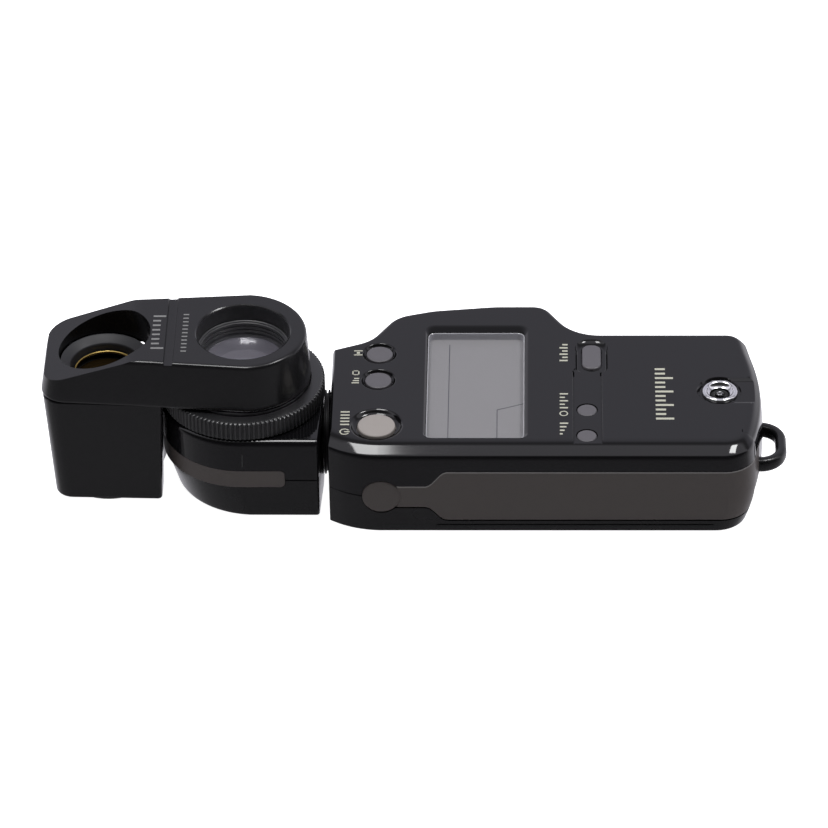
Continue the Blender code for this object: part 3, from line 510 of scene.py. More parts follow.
def mode_well(cover):
    """Dished recess of the mode key, and the key's own opening."""
    left, right, near, far, radius = MODE
    recess = []
    for share, z in ((0.0, 24.2), (0.12, 24.22), (0.4, 24.36), (0.7, 24.56), (0.9, 24.78),
                     (1.02, 25.01), (1.1, 25.3)):
        grow = 1.0 + 0.7 * share
        end = far + 0.2 + 1.8 * share
        round_end = 3.1 + 0.4 * share
        loop = [(left - grow, near - grow, 1.6), (right + grow, near - grow, 1.6),
                (right + grow, end, round_end), (left - grow, end, round_end)]
        recess.append(level(plan(loop), z))
    cut(cover, loft(recess))
    gap = 0.25
    hole = oblong(left - gap, right + gap, near - gap, far + gap, radius + gap)
    cut(cover, stepped(hole, [(0, UNDER_TOP), (0, 27.0)]))


def socket_well(cover):
    """Round well of the sync socket, and the groove from it to the strap end."""
    well = [(0, UNDER_TOP), (3.9, UNDER_TOP), (3.9, 24.1), (5.2, 24.1), (5.35, 24.3),
            (5.6, 24.75), (5.9, 25.01), (6.1, 25.3), (0, 25.4)]
    cut(cover, turned(well, (*SOCKET, 0)))
    groove = oblong(SOCKET[0], 95.0, 21.4, 31.0, 0.5)
    cut(cover, stepped(groove, [(0.5, 24.5), (0.3, 24.53), (0.0, 24.66), (-0.35, 24.85),
                                (-0.55, 24.97), (-0.75, 25.02), (-1.2, 25.2)], 20))


# Roll from the side wall to the top face as (inset, height): a tight curve, then a sloping band
# that eases out into the flat.
TOP_ROLL = [(0.05, 22.4), (0.13, 22.74), (0.24, 22.98), (0.36, 23.14), (0.5, 23.26),
            (0.7, 23.39), (0.95, 23.545), (1.3, 23.75), (1.65, 23.945), (2.0, 24.13),
            (2.35, 24.305), (2.7, 24.465), (3.0, 24.59), (3.3, 24.695), (3.6, 24.785),
            (3.9, 24.855), (4.2, 24.91), (4.6, 24.96), (5.1, 24.99), (5.6, BODY_TOP),
            (6.0, BODY_TOP)]


def cover_front():
    seam = PARTING + HALF_SEAM
    inside = [(4.9, 23.0), (WALL, UNDER_TOP), (WALL, seam)]
    side = [(0.15, seam)] + [(0.0, z) for z in (seam + 0.15, 13.5, 16.0, 18.0, 20.0, 22.0)]
    cover = shape(loft([level(plan(body_corners(swell(z)), inset), z)
                        for inset, z in inside + side + TOP_ROLL]))
    window_opening(cover)
    dished_wells(cover)
    key_channel(cover)
    mode_well(cover)
    socket_well(cover)
    rocker_window = oblong(9.6, 30.4, 60.0, 70.0, 0.0)
    cut(cover, stepped(rocker_window, [(0, 12.6), (0, UNDER_TOP)]))
    shared_cuts(cover)
    finish(cover, "cover_front", BLACK, "meter_body", ["front_cover"])


def cover_rear():
    seam = PARTING - HALF_SEAM
    bottom = [(0.45, 0.0), (0.18, 0.04), (0.05, 0.15), (0.0, 0.35)]
    side = [(0.0, z) for z in (2.0, 4.0, 6.0, 8.0, seam - 0.15)]
    inside = [(0.15, seam), (WALL, seam), (WALL, 1.8)]
    cover = shape(loft([level(plan(body_corners(swell(z)), inset), z)
                        for inset, z in bottom + side + inside]))
    left, right, far = 5.7, 75.8, 23.8
    door = [(left, -4.0, 0.0), (right, -4.0, 0.0), (right, far, 2.0), (left, far, 2.0)]
    cut(cover, stepped(door, [(0, -1.0), (0, 2.2)]))
    cut(cover, stepped(oblong(8.0, 73.5, 2.6, 21.5, 1.5), [(0, 1.0), (0, 5.0)]))
    recess = [(0, -1.0), (2.6, -0.1), (2.3, 0.2), (2.3, 1.05), (1.25, 1.05), (1.25, 3.0),
              (0, 3.0)]
    for x, y in CASE_SCREWS:
        cut(cover, turned(recess, (x, y, 0), parts=32))
    shared_cuts(cover)
    finish(cover, "cover_rear", BLACK_SIDE, "meter_body", ["rear_cover"])


def grip():
    finish(grip_band(grip_section(0.02, 0.75, 0.42)), "grip_panel", GRIP, "meter_body",
           ["side_grip"])
    # Thin lighter strip along the grip's top edge: a painted highlight for the light that this
    # edge catches.
    highlight_strip = [(0.0, 1.0, -0.36), (0.0, 1.0, -0.03), (0.3, 1.0, -0.03), (0.3, 1.0, -0.36)]
    finish(grip_band(highlight_strip), "grip_edge_highlight_strip", GRIP_TOP_PAINTED_HIGHLIGHT, "meter_body")
    x, z, radius = TRIGGER
    profile = ([(0, 3.2), (radius + 1.2, 3.2), (radius + 1.2, 2.45), (radius, 2.45)]
               + [(r, 0.4 - h) for r, h in arc(radius - 0.3, 0.0, 0.3, 0, 90)]
               + [(radius * 0.7, 0.06), (radius * 0.35, 0.03), (0, 0.02)])
    finish(turned(profile, (x, 0, z), "Y", 72), "measuring_key", GRIP, "measuring_button",
           ["measuring_button"])


def display():
    left, right, near, far, radius = LCD
    gap = 0.05
    pane = oblong(left + gap, right - gap, near + gap, far - gap, radius - gap)
    finish(stepped(pane, [(0.3, 23.45), (0.3, 24.28), (0.4, 24.33), (1.0, 24.34)]),
           "window_pane", WINDOW, "meter_body", ["lcd_window"])
    # The pale rim round the pane is a painted highlight for the light that the window's bevelled
    # edge catches.
    finish(stepped(pane, [(0.0, 22.4), (0.0, 24.2), (0.06, 24.32), (0.16, 24.36), (0.25, 24.3),
                          (0.25, 22.4)], closed=True), "window_rim", WINDOW_RIM_PAINTED_HIGHLIGHT, "meter_body")
    panel_top = 22.35
    glass = oblong(left - 0.9, right + 0.9, near - 0.7, far + 0.7, 0.4)
    finish(stepped(glass, [(0, 19.9), (0, panel_top)]), "display_panel", PANEL, "meter_body",
           ["lcd_panel"])
    bm = bmesh.new()
    for start, end in (((8.6, near - 0.5), (8.6, far - 2.6)), ((21.0, near - 0.5), (21.0, 21.4)),
                       ((21.0, 21.4), (28.6, 24.4))):
        a, b = Vector(start), Vector(end)
        side = (b - a).orthogonal().normalized() * 0.11
        add_prism(bm, (a - side, b - side, b + side, a + side), panel_top - 0.01,
                  panel_top + 0.04)
    finish(bm, "display_lines", LINE, "meter_body")


def add_prism(bm, corners, low, high):
    """Flat closed block over a plan, added to a mesh."""
    count = len(corners)
    bottom = [bm.verts.new((p[0], p[1], low)) for p in corners]
    top = [bm.verts.new((p[0], p[1], high)) for p in corners]
    faces = [bm.faces.new(top), bm.faces.new(bottom[::-1])]
    for i in range(count):
        j = (i + 1) % count
        faces.append(bm.faces.new((bottom[i], bottom[j], top[j], top[i])))
    bmesh.ops.recalc_face_normals(bm, faces=faces)


def round_key(name, node, place, material, top=24.8):
    """Round key with a flange under the cover, a rounded edge and a faintly dished top."""
    x, y, radius = place
    edge = 0.45 if place is POWER else 0.3
    flange = [(0, 22.0), (radius + 0.85, 22.0), (radius + 0.85, 23.0), (radius, 23.0)]
    dish = [(radius * 0.5, top - 0.05), (0, top - 0.06)]
    profile = flange + arc(radius - edge, top - edge, edge, 0, 90) + dish
    finish(turned(profile, (x, y, 0)), name, material, node, [node])


def keys():
    round_key("power_key", "power_button", POWER, PALE_KEY, 24.85)
    round_key("average_key", "average_button", AVERAGE, GREY_KEY)
    round_key("memory_key", "memory_button", MEMORY, GREY_KEY)
    round_key("fnumber_key", "fnumber_button", FNUMBER, GREY_KEY, 24.75)
    round_key("film_speed_key", "film_speed_button", FILM_SPEED, GREY_KEY, 24.75)
    left, right, near, far, radius = MODE
    wide = 0.85
    flange = oblong(left - wide, right + wide, near - wide, far + wide, radius + wide)
    steps = [(0, 22.0), (0, 23.0), (wide, 23.0), (wide, 24.45), (wide + 0.06, 24.62),
             (wide + 0.2, 24.76), (wide + 0.4, 24.8), (wide + 1.0, 24.77)]
    finish(stepped(flange, steps), "mode_key", GREY_KEY, "mode_button", ["mode_button"])


def socket():
    centre = (*SOCKET, 0)
    shell = ([(2.6, 17.0), (3.5, 17.0), (3.5, 24.25), (4.55, 24.25)]
             + arc(3.95, 24.5, 0.6, 0, 150, 9) + [(3.25, 24.4), (2.9, 24.1), (2.6, 23.9)])
    finish(turned(shell, centre, hollow=True), "socket_ring", CHROME, "meter_body",
           ["sync_socket_shell"])
    sleeve = [(1.05, 17.0), (2.3, 17.0), (2.3, 23.5), (2.15, 23.7), (1.5, 23.7), (1.05, 23.2)]
    finish(turned(sleeve, centre, hollow=True), "socket_sleeve", BLACK_MATT, "meter_body",
           ["sync_socket_insulator"])
    pin = [(0, 15.5), (0.85, 15.5), (0.85, 23.9), (0.75, 24.15), (0.6, 24.25), (0.42, 24.15),
           (0.36, 22.0), (0, 21.9)]
    finish(turned(pin, centre, parts=32), "socket_pin", DARK_STEEL, "meter_body",
           ["sync_socket_pin"])


def slab(corners, steps):
    """Loft of an upright outline of (x, z) corners; steps are (inset, y)."""
    return loft([[Vector((p.x, y, p.y)) for p in plan(corners, inset)] for inset, y in steps])


def battery_door():
    """Battery cover: its lower near edge is rolled, and ribs near it give a finger hold."""
    left, right, far = 5.72, 75.78, 23.78
    outline = [(left, 0.0, 0.0), (right, 0.0, 0.0), (right, far, 1.98), (left, far, 1.98)]
    loops = []
    for inset, near, z in ((0.2, 0.45, 0.0), (0.06, 0.18, 0.04), (0.0, 0.05, 0.15),
                           (0.0, 0.0, 0.35), (0.0, 0.0, 1.78), (0.12, 0.12, 1.9)):
        loops.append([Vector((p.x, max(p.y, near), z)) for p in plan(outline, inset)])
    cover = shape(loft(loops))
    for k in range(7):
        x = 35.2 + 1.6 * k
        cut(cover, stepped(oblong(x, x + 0.8, 3.0, 9.5, 0.35), [(-0.12, -0.2), (0.0, 0.12),
                                                                (0.1, 0.4)]))
    finish(cover, "battery_door", BLACK_SIDE, "battery_cover", ["battery_cover"])


def rocker():
    """Up/down key on the far side: hollow between two ends marked with arrows."""
    key = shape(slab(oblong(10.0, 30.0, 13.0, 20.6, 1.2),
                     [(0.2, 61.9), (0.0, 62.1), (0.0, 64.0), (0.08, 64.3), (0.3, 64.5),
                      (0.7, 64.58), (1.2, 64.59)]))
    cut(key, slab(oblong(15.5, 24.5, 12.0, 22.0, 0.0),
                  [(2.4, 64.25), (1.2, 64.33), (0.0, 64.62), (-0.4, 65.0)]))
    for tip, base in ((12.0, 14.0), (28.0, 26.0)):
        arrow = [(tip, 16.8, 0.0), (base, 15.4, 0.0), (base, 18.2, 0.0)]
        if tip > base:
            arrow.reverse()
        cut(key, slab(arrow, [(0.0, 64.45), (0.0, 65.0)]))
    finish(key, "rocker_key", GREY_KEY, "updown_rocker", ["updown_rocker"])


def strap():
    """Strap loop: a ring of squarish section."""
    outline = [(81.1, 12.1, 1.2), (94.7, 12.1, 6.8), (94.7, 29.9, 6.8), (81.1, 29.9, 1.2)]
    half_wide, half_high, middle, squareness, parts = 1.45, 1.9, 11.0, 0.75, 20
    section = []
    for k in range(parts):
        u, v = math.cos(math.tau * k / parts), math.sin(math.tau * k / parts)
        section.append((half_wide - half_wide * math.copysign(abs(u) ** squareness, u),
                        middle + half_high * math.copysign(abs(v) ** squareness, v)))
    finish(stepped(outline, section, closed=True), "strap_loop", BLACK_SIDE, "meter_body",
           ["strap_ring"])


# ---- head
def head_corners(shift=0.0):
    """Outline of the head: a half-round end and a square one; shift moves the round end."""
    side_share = 0.3
    near = AXIS_Y - HEAD_RADIUS
    far = AXIS_Y + HEAD_RADIUS
    points = [(HEAD_RIGHT - 0.7, near, 1.0, side_share),
              (HEAD_RIGHT, AXIS_Y - 8.0, 0.0, side_share), (HEAD_RIGHT, far, 11.0)]
    for degrees in range(94, 267, 4):
        angle = math.radians(degrees)
        points.append((HEAD_X + shift + HEAD_RADIUS * math.cos(angle),
                       AXIS_Y + HEAD_RADIUS * math.sin(angle), 0.0))
    return points


def head_band(outer, inner, margin=0.0):
    """Strip round the half-round end and along both sides, with rounded right ends."""
    low, high = STRIP_Z
    middle = (low + high) / 2
    half = (high - low) / 2 + margin
    end_radius = 1.6
    ends = []
    for degrees in range(90, 29, -15):
        angle = math.radians(degrees)
        ends.append((STRIP_RIGHT + margin - end_radius + end_radius * math.cos(angle),
                     math.sin(angle) ** 0.6))
    places = [((x, AXIS_Y - outer), (x, AXIS_Y - inner), share) for x, share in reversed(ends)]
    for degrees in range(270, 89, -4):
        angle = math.radians(degrees)
        u, v = math.cos(angle), math.sin(angle)
        places.append(((HEAD_X + outer * u, AXIS_Y + outer * v),
                       (HEAD_X + inner * u, AXIS_Y + inner * v), 1.0))
    places += [((x, AXIS_Y + outer), (x, AXIS_Y + inner), share) for x, share in ends]
    loops = []
    for out, back, share in places:
        reach = half * share
        loops.append([Vector((*out, middle - reach)), Vector((*out, middle + reach)),
                      Vector((*back, middle + reach)), Vector((*back, middle - reach))])
    return loft(loops)


def head():
    gap = 0.07
    upper = [(WALL, 22.0), (WALL, HEAD_SEAM + gap), (0.1, HEAD_SEAM + gap), (0.0, HEAD_SEAM + 0.2),
             (0.0, 22.4), (0.05, 22.8), (0.2, 23.2), (0.5, 23.6), (0.95, 23.88), (1.5, HEAD_TOP),
             (2.2, HEAD_TOP)]
    front = shape(stepped(head_corners(), upper))
    # the lower shell's round end is undercut, so each step also has a shift of that end
    lower = [(0.8, HEAD_LOW, 3.4), (0.35, HEAD_LOW + 0.06, 3.4), (0.12, HEAD_LOW + 0.25, 3.3),
             (0.0, HEAD_LOW + 0.6, 3.2), (0.0, HEAD_LOW + 1.6, 2.9), (0.0, HEAD_SEAM - 0.2, 0.05),
             (0.1, HEAD_SEAM - gap, 0.0), (WALL, HEAD_SEAM - gap, 0.0),
             (WALL, HEAD_LOW + 1.8, 3.0)]
    rear = shape(loft([level(plan(head_corners(shift), inset), z) for inset, z, shift in lower]))
    floor = HEAD_LOW + 1.05
    recess = [(0, 0.0), (2.2, 0.0), (2.2, floor), (1.15, floor), (1.15, 4.0), (0, 4.0)]
    for x, y in HEAD_SCREWS:
        cut(rear, turned(recess, (x, y, 0), parts=32))
    mount = 12.9
    cut(front, turned([(0, 20.0), (mount, 20.0), (mount, 26.0), (0, 26.0)],
                      (HEAD_X, AXIS_Y, 0)))
    neck = 6.7
    for shell in (front, rear):
        cut(shell, turned([(0, -4.0), (neck, -4.0), (neck, 4.0), (0, 4.0)],
                          (HEAD_RIGHT, AXIS_Y, NECK_Z), "X", 40))
        cut(shell, head_band(HEAD_RADIUS + 3.0, HEAD_RADIUS - 1.0, 0.1))
    finish(front, "head_shell_front", BLACK, "receptor_head", ["head_front_shell"])
    finish(rear, "head_shell_rear", BLACK_SIDE, "receptor_head", ["head_rear_shell"])
    finish(head_band(HEAD_RADIUS - 0.03, HEAD_RADIUS - 0.7), "head_strip", GRIP,
           "receptor_head", ["head_inlay"])
    near = AXIS_Y - HEAD_RADIUS
    mark = bmesh.new()
    bar(mark, -43.45, -43.15, near - 0.03, near + 0.1, 16.2, 20.2)
    finish(mark, "head_index", INDEX_GREY, "receptor_head")


def neck():
    """Neck between body and head, with two narrow ribs in the gap."""
    tube, bore, rib, groove = 6.4, 4.0, 10.8, 10.0
    profile = [(bore, -26.9), (8.4, -26.9), (8.4, -25.7), (tube, -25.7), (tube, -23.1),
               (rib - 0.1, -23.1), (rib, -23.0), (rib, -22.85), (rib - 0.1, -22.75),
               (groove, -22.7), (groove, -22.25), (rib - 0.1, -22.2), (rib, -22.1),
               (rib, -21.9), (rib - 0.1, -21.8), (tube, -21.8), (tube, -18.1), (5.7, -18.1),
               (5.7, -16.9), (bore, -16.9)]
    finish(turned(profile, (0, AXIS_Y, NECK_Z), "X", hollow=True), "neck_ribs", BLACK_MATT,
           "receptor_head", ["neck_tube"])


def knurled_ring():
    """Locking ring: straight knurls on the rim between two chamfers."""
    teeth = 110
    wave = (0.46, 0.40, 0.12, 0.0, 0.0, 0.0, 0.12, 0.40)
    count = teeth * len(wave)
    bore, rim = 17.4, 20.8
    profile = [(bore, 24.3, 0.0), (20.2, 24.3, 0.0), (20.55, 24.38, 0.3), (rim, 24.6, 1.0),
               (rim, 28.85, 1.0), (20.6, 29.08, 0.9), (20.2, 29.24, 0.2), (19.7, 29.3, 0.0),
               (bore, 29.3, 0.0)]
    loops = []
    for radius, z, depth in profile:
        loop = []
        for k in range(count):
            angle = math.tau * k / count
            r = radius - depth * wave[k % len(wave)]
            loop.append(Vector((HEAD_X + r * math.cos(angle), AXIS_Y + r * math.sin(angle), z)))
        loops.append(loop)
    finish(loft(loops, closed=True), "knurled_ring", RING_GREY, "locking_ring",
           ["locking_ring"], sharp=28.0)


# ---- viewfinder
def finder_corners(shift=0.0):
    """Outline of the viewfinder: round over the metering lens, waisted, square at the end."""
    left, waist = FINDER_LEFT + shift, -68.0
    points = [(left, AXIS_Y - FINDER_HALF, 6.0), (waist, AXIS_Y - 14.3, 40.0)]
    for degrees in range(-86, 87, 4):
        angle = math.radians(degrees)
        points.append((LENS_X + FINDER_ROUND * math.cos(angle),
                       AXIS_Y + FINDER_ROUND * math.sin(angle), 0.0))
    return points + [(waist, AXIS_Y + 15.1, 40.0), (left, AXIS_Y + FINDER_HALF, 6.0)]


def seam_rise(x):
    """The seam under the upper housing climbs towards the sighting end."""
    return 0.036 * max(-66.0 - x, 0.0)


def finder_shell():
    """Upper housing before its openings; its far side draws in more than the near one."""
    inner_top = 41.7
    steps = [(2.1, inner_top, 0.9), (2.1, FINDER_LOW, 0.0), (0.25, FINDER_LOW, 0.0),
             (0.05, FINDER_LOW + 0.25, 0.0), (0.0, 31.0, 0.0), (0.25, 35.0, 0.3),
             (0.8, 42.3, 1.4), (0.88, 42.75, 1.5), (1.05, 43.05, 1.55), (1.3, 43.27, 1.6),
             (1.6, 43.35, 1.65), (2.0, FINDER_TOP, 1.65), (2.6, FINDER_TOP, 1.65)]
    loops = []
    for inset, z, shift in steps:
        loop = []
        for p in plan(finder_corners(shift), inset):
            beyond = max(p.y - AXIS_Y, 0.0) / 15.0
            rise = seam_rise(p.x) if z <= 31.0 else 0.0
            loop.append(Vector((p.x, p.y + 0.6 * inset * beyond, z + rise)))
        loops.append(loop)
    cover = shape(loft(loops))
    left, right = FINDER_LEFT + 2.2, -64.6
    liner = [(left, AXIS_Y - 12.4, 4.6), (right, AXIS_Y - 12.4, 0.5),
             (right, AXIS_Y + 14.4, 0.5), (left, AXIS_Y + 13.0, 4.6)]
    cut(cover, stepped(liner, [(0, 34.9), (0, inner_top + 0.5)]), "UNION")
    return cover


def finder_top():
    cover = finder_shell()
    # sloping brow with a rolled start
    start, end, slope, reach = -72.0, -100.0, 0.30, 25.0
    rolled = [(-69.0, 43.37), (-70.0, 43.34), (-71.0, 43.22), (start, 42.99),
              (end, 42.99 - (start - end) * math.tan(slope)), (end, 50.0), (-69.0, 50.0)]
    cut(cover, loft([[Vector((x, AXIS_Y + side, z)) for x, z in rolled]
                     for side in (-reach, reach)]))
    sight = 11.8
    cut(cover, turned([(0, 30.0), (sight, 30.0), (sight, 50.0), (0, 50.0)],
                      (SIGHT_X, AXIS_Y, 0), parts=96))
    rim = [(0, 38.0), (11.85, 38.0), (11.85, 43.1), (12.0, 43.25), (12.2, 43.36), (12.4, 43.6),
           (0, 43.7)]
    cut(cover, turned(rim, (LENS_X, AXIS_Y, 0), parts=96))
    groove = oblong(-62.6, -60.4, AXIS_Y - reach, AXIS_Y + reach, 0.0)
    cut(cover, stepped(groove, [(0.35, 42.75), (0.1, 42.85), (0.0, 43.1), (-0.1, 43.3),
                                (-0.3, 43.6)]))
    finish(cover, "finder_housing", FINDER_BLACK, "viewfinder", ["finder_upper_cover"])


def finder_lower():
    """Lower box under the sighting end: hollow, tapered, hugging the head's round end."""
    near, far = AXIS_Y - BOX_HALF, AXIS_Y + BOX_HALF
    top_plan = [(-93.9, near, 4.5), (-63.4, near, 1.2), (-63.4, far, 1.2), (-93.9, far, 4.5)]
    near, far = near + 0.4, far - 0.4
    low_plan = [(-92.0, near, 4.5), (-64.6, near, 1.2), (-64.6, far, 1.2), (-92.0, far, 4.5)]
    top = FINDER_LOW - 0.25

    def floor_loop(inset, height):
        return [Vector((p.x, p.y, height - 0.022 * (p.x + 77.0))) for p in plan(low_plan, inset)]

    def seam_loop(inset, height):
        return [Vector((p.x, p.y, height + seam_rise(p.x))) for p in plan(top_plan, inset)]

    loops = [floor_loop(0.9, 0.33), floor_loop(0.5, 0.36), floor_loop(0.2, 0.5),
             floor_loop(0.05, 0.75), floor_loop(0.0, 1.1), seam_loop(0.0, top - 0.25),
             seam_loop(0.2, top), seam_loop(1.5, top), floor_loop(1.7, 2.0)]
    box = shape(loft(loops))
    round_end = HEAD_RADIUS + 0.9
    cut(box, turned([(0, -2.0), (round_end, -2.0), (round_end, 40.0), (0, 40.0)],
                    (HEAD_X, AXIS_Y, 0), parts=180))
    seat = [(0, -2.0), (13.1, -2.0), (13.1, 1.1), (10.6, 1.1), (10.6, 5.0), (0, 5.0)]
    cut(box, turned(seat, (SIGHT_X, AXIS_Y, 0)))
    web = oblong(-67.6, -66.0, AXIS_Y - BOX_HALF + 1.0, AXIS_Y + BOX_HALF - 1.0, 0.0)
    cut(box, stepped(web, [(0, 1.3), (0, top - 0.2)]), "UNION")
    finish(box, "finder_box", FINDER_BLACK, "viewfinder", ["finder_lower_box"])


def metering_optics():
    """Barrel, clear dome and pale bowl of the metering lens, and a thin grey lining in its well
    that paints light on the shaded wall.
    """
    centre = (LENS_X, AXIS_Y, 0)
    barrel = [(10.2, 30.4), (11.9, 30.4), (11.9, 38.4), (11.8, 38.7), (11.55, 38.8), (11.3, 38.7)]
    for top in (38.3, 37.2, 36.1):
        barrel += [(11.25, top), (11.0, top - 0.08), (11.0, top - 0.75), (11.25, top - 0.83)]
    barrel += [(11.1, 34.7), (10.2, 34.6)]
    finish(turned(barrel, centre, hollow=True, parts=96), "lens_barrel", BARREL, "viewfinder",
           ["metering_lens_barrel"])
    dome = [(0, 35.0), (10.7, 35.0), (10.7, 35.3)]
    dome += [(10.5 * (1 - k / 10), 35.4 + 1.5 * (1 - (1 - k / 10) ** 2)) for k in range(11)]
    finish(turned(dome, centre, parts=96), "metering_glass", DOME, "viewfinder",
           ["metering_lens"])
    bowl = [(0, 31.95), (10.15, 32.2), (10.15, 34.55)]
    bowl += [(9.9 * (1 - k / 12), 34.5 - 2.4 * (1 - (1 - k / 12) ** 2)) for k in range(13)]
    finish(turned(bowl, centre, parts=96), "metering_diffuser", DIFFUSER, "viewfinder")
    # Grey lining of the well: painted light on the wall that lies in shade.
    well = [(11.72, 38.9), (11.8, 38.9), (11.8, 43.0), (11.76, 43.05), (11.72, 43.0)]
    finish(turned(well, centre, hollow=True, parts=96), "lens_well", WELL_PAINTED_LIGHT, "viewfinder")


def sight_optics():
    """Bezel, gilt ring and objective of the viewfinder, and its eyepiece underneath."""
    centre = (SIGHT_X, AXIS_Y, 0)
    bezel = [(9.0, 30.2), (11.5, 30.2), (11.6, 34.5), (11.4, 34.8), (11.0, 34.75), (9.2, 33.5),
             (9.05, 33.3), (9.0, 32.9)]
    finish(turned(bezel, centre, hollow=True, parts=96), "objective_cone", CONE, "viewfinder",
           ["objective_bezel"])
    ring = [(7.7, 31.3), (8.15, 31.3), (8.15, 31.7), (8.0, 31.8), (7.75, 31.72)]
    finish(turned(ring, centre, hollow=True, parts=96), "objective_gilt_ring", BRASS,
           "viewfinder", ["objective_trim"])
    edge, crown = 8.0, 1.5
    glass = [(0, 26.6), (8.2, 27.6), (8.2, 29.2)]
    for k in range(9):
        share = 1 - k / 8
        glass.append((edge * share, 29.4 + crown * (1 - share ** 2)))
    finish(turned(glass, centre, parts=96), "objective_glass", AMBER, "viewfinder",
           ["objective_lens"])
    eyepiece = [(7.4, 0.3), (7.7, 0.0), (12.6, 0.0), (12.9, 0.12), (13.0, 0.4), (13.0, 1.0),
                (10.2, 1.0), (10.2, 4.5), (7.4, 4.5)]
    finish(turned(eyepiece, centre, hollow=True), "eyepiece_cup", RUBBER, "viewfinder",
           ["eyepiece_ring"])


# ---- printed marks
def ring_mark(bm, x, y, outer, inner, start, end, low, high):
    parts = max(6, int(abs(end - start) / 15))
    angles = [math.radians(start + (end - start) * k / parts) for k in range(parts + 1)]
    for a, b in zip(angles, angles[1:]):
        quad = [(x + inner * math.cos(a), y + inner * math.sin(a)),
                (x + outer * math.cos(a), y + outer * math.sin(a)),
                (x + outer * math.cos(b), y + outer * math.sin(b)),
                (x + inner * math.cos(b), y + inner * math.sin(b))]
        add_prism(bm, quad, low, high)


def bar(bm, left, right, near, far, low, high):
    add_prism(bm, [(left, near), (right, near), (right, far), (left, far)], low, high)


def marks():
    """Plain symbols beside the keys, in place of words."""
    low, high = BODY_TOP - 0.02, BODY_TOP + 0.03
    bm = bmesh.new()
    ring_mark(bm, -17.4, 8.4, 1.3, 0.95, 30, 330, low, high)
    bar(bm, -17.5, -16.1, 8.2, 8.6, low, high)
    for k in range(5):
        bar(bm, -18.6, -16.3, 11.2 + 1.35 * k, 11.75 + 1.35 * k, low, high)
    for k in range(3):
        bar(bm, -16.2 + 0.3 * k, -14.3, 29.3 + 0.95 * k, 29.75 + 0.95 * k, low, high)
    for sides in ((-16.1, -15.8, 32.9, 34.9), (-14.6, -14.3, 32.9, 34.9),
                  (-16.1, -14.3, 32.9, 33.2), (-16.1, -14.3, 34.6, 34.9)):
        bar(bm, *sides, low, high)
    for sides in ((-15.9, -13.7, 41.6, 42.0), (-15.9, -13.7, 43.4, 43.8),
                  (-15.2, -14.4, 42.3, 43.1)):
        bar(bm, *sides, low, high)
    for k in range(6):
        bar(bm, 36.9 + (0.7 if k % 2 else 0.0), 39.0, 39.0 + 1.4 * k, 39.6 + 1.4 * k, low, high)
    ring_mark(bm, 37.9, 16.2, 1.1, 0.8, 0, 360, low, high)
    for k in range(5):
        bar(bm, 36.9, 39.0 - (0.8 if k % 2 else 0.0), 18.4 + 1.5 * k, 18.95 + 1.5 * k, low, high)
    for k in range(4):
        bar(bm, 36.9, 37.6 + 0.47 * k, 7.2 + 1.5 * k, 7.8 + 1.5 * k, low, high)
    for k in range(12):
        tall = 4.6 if k % 3 == 0 else 2.6
        bar(bm, 61.2, 61.2 + tall, 13.6 + 1.95 * k, 14.4 + 1.95 * k, low, high)
    finish(bm, "body_marks", INK, "meter_body")
    low, high = FINDER_TOP - 0.01, FINDER_TOP + 0.028
    bm = bmesh.new()
    for k in range(8):
        tall = 3.2 if k % 7 == 0 else 2.0
        bar(bm, -66.2, -66.2 + tall, 18.6 + 2.0 * k, 19.3 + 2.0 * k, low, high)
    for k in range(11):
        bar(bm, -58.6, -57.2, 17.4 + 1.6 * k, 17.9 + 1.6 * k, low, high)
    finish(bm, "finder_marks", GREY_INK, "viewfinder")


# ---- carried-over solids
def dress():
    looks = {
        BLACK: ("lcd_holder", "finder_base_plate"),
        BLACK_MATT: ("sight_tube", "battery_tray"),
        RUBBER: ("zebra_connector", "left_keypad", "right_keypad", "sensor_lead"),
        BOARD: ("main_circuit_board", "photocell_board"),
        STEEL: ("rocker_pin", "battery_contact", "battery_spring", "neck_retainer", "mount_seat",
                "mount_sleeve", "case_screw_1", "case_screw_2", "case_screw_3", "case_screw_4",
                "head_screw_1", "head_screw_2"),
        NYLON: ("neck_bush",),
        FILTER: ("correction_filter",),
        SILICON: ("photocell",),
        WRAP: ("battery_cell",),
        LENS: ("reticle", "erecting_lens", "eyepiece_lens"),
    }
    for material, names in looks.items():
        for name in names:
            obj = NODES[name]
            for slot in obj.material_slots:
                slot.material = material


# ---- stage
def area(name, place, size, power):
    light = bpy.data.lights.new(name, "AREA")
    light.shape = "RECTANGLE"
    light.size, light.size_y = size
    light.energy = power
    obj = bpy.data.objects.new(name, light)
    obj.location = place
    bpy.context.scene.collection.objects.link(obj)


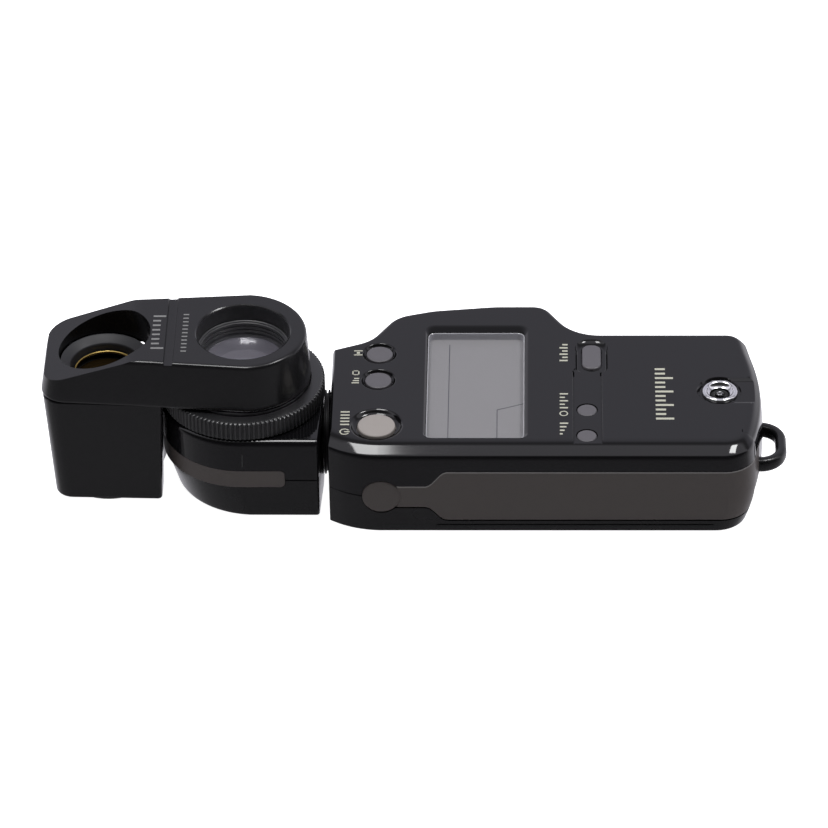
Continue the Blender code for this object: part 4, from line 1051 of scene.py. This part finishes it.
def sky():
    """Surroundings seen in the gloss: grey walls with bright bands, plain along X."""
    world = bpy.data.worlds.new("studio")
    world.use_nodes = True
    tree = world.node_tree
    place = tree.nodes.new("ShaderNodeTexCoord")
    split = tree.nodes.new("ShaderNodeSeparateXYZ")
    tree.links.new(place.outputs["Generated"], split.inputs["Vector"])
    turn = tree.nodes.new("ShaderNodeMath")
    turn.operation = "ARCTAN2"
    tree.links.new(split.outputs["Z"], turn.inputs[0])
    tree.links.new(split.outputs["Y"], turn.inputs[1])
    share = tree.nodes.new("ShaderNodeMapRange")
    share.inputs["From Min"].default_value = -math.pi
    share.inputs["From Max"].default_value = math.pi
    tree.links.new(turn.outputs["Value"], share.inputs["Value"])
    ramp = tree.nodes.new("ShaderNodeValToRGB")
    tree.links.new(share.outputs["Result"], ramp.inputs["Fac"])
    # angle about X, from the front through below, the back and above to the front again
    stops = ((-180, 0.03, 0.03), (-144, 0.21, 0.22), (-90, 0.35, 0.36), (-50, 0.95, 1.0),
             (0, 0.90, 0.95), (28, 0.55, 0.62), (48, 0.54, 0.60), (60, 0.25, 0.27),
             (70, 0.25, 0.26), (80, 0.94, 1.0), (103, 0.94, 1.0), (118, 0.20, 0.20),
             (132, 0.03, 0.03), (180, 0.03, 0.03))
    elements = ramp.color_ramp.elements
    elements[0].position = 0.0
    elements[1].position = 1.0
    for angle, warm, cool in stops[1:-1]:
        elements.new((angle + 180.0) / 360.0)
    for element, (angle, warm, cool) in zip(elements, stops):
        element.color = (warm, warm * 0.985, cool, 1.0)
    tree.links.new(ramp.outputs["Color"], tree.nodes["Background"].inputs["Color"])
    bpy.context.scene.world = world


def pale_floor():
    """Pale floor that is left out of the gloss."""
    bm = bmesh.new()
    bmesh.ops.create_grid(bm, x_segments=1, y_segments=1, size=6.0)
    floor = shape(bm, "floor")
    floor.location.z = -0.0002
    pale = bpy.data.materials.new("pale_floor")
    pale.use_nodes = True
    shader = pale.node_tree.nodes["Principled BSDF"]
    shader.inputs["Base Color"].default_value = (0.92, 0.92, 0.92, 1.0)
    shader.inputs["Roughness"].default_value = 0.9
    shader.inputs["Specular IOR Level"].default_value = 0.0
    shader.inputs["Emission Color"].default_value = (1.0, 1.0, 1.0, 1.0)
    shader.inputs["Emission Strength"].default_value = 1.0
    floor.data.materials.append(pale)
    floor.visible_glossy = False


def camera():
    """Long lens from the near side, looking down."""
    tilt, swing, roll = math.radians(36.0), math.radians(1.61), math.radians(0.95)
    target, distance = Vector((0.0, 16.0, 25.0)), 1400.0
    ahead = Vector((-math.sin(swing), math.cos(swing), 0.0))
    right = Vector((math.cos(swing), math.sin(swing), 0.0))
    up = Vector((0.0, 0.0, 1.0))
    forward = ahead * math.cos(tilt) - up * math.sin(tilt)
    upward = ahead * math.sin(tilt) + up * math.cos(tilt)
    side = right * math.cos(roll) - upward * math.sin(roll)
    top = right * math.sin(roll) + upward * math.cos(roll)
    lens = bpy.data.cameras.new("camera")
    lens.sensor_width = 36.0
    lens.lens = 240.43
    lens.clip_start = 0.1
    obj = bpy.data.objects.new("camera", lens)
    pose = Matrix((side, top, -forward)).transposed().to_4x4()
    pose.translation = (target - forward * distance - ORIGIN) * 0.001
    obj.matrix_world = pose
    scene = bpy.context.scene
    scene.collection.objects.link(obj)
    scene.camera = obj


def studio():
    bpy.context.scene.view_settings.view_transform = "Standard"
    sky()
    area("overhead_left", (-0.0975, -0.014, 0.52), (0.155, 0.21), 1.2)
    area("overhead_right", (0.255, -0.02, 0.52), (0.13, 0.16), 1.2)
    pale_floor()
    camera()


cover_front()
cover_rear()
grip()
display()
keys()
socket()
battery_door()
rocker()
strap()
head()
neck()
knurled_ring()
finder_top()
finder_lower()
metering_optics()
sight_optics()
marks()
dress()
studio()
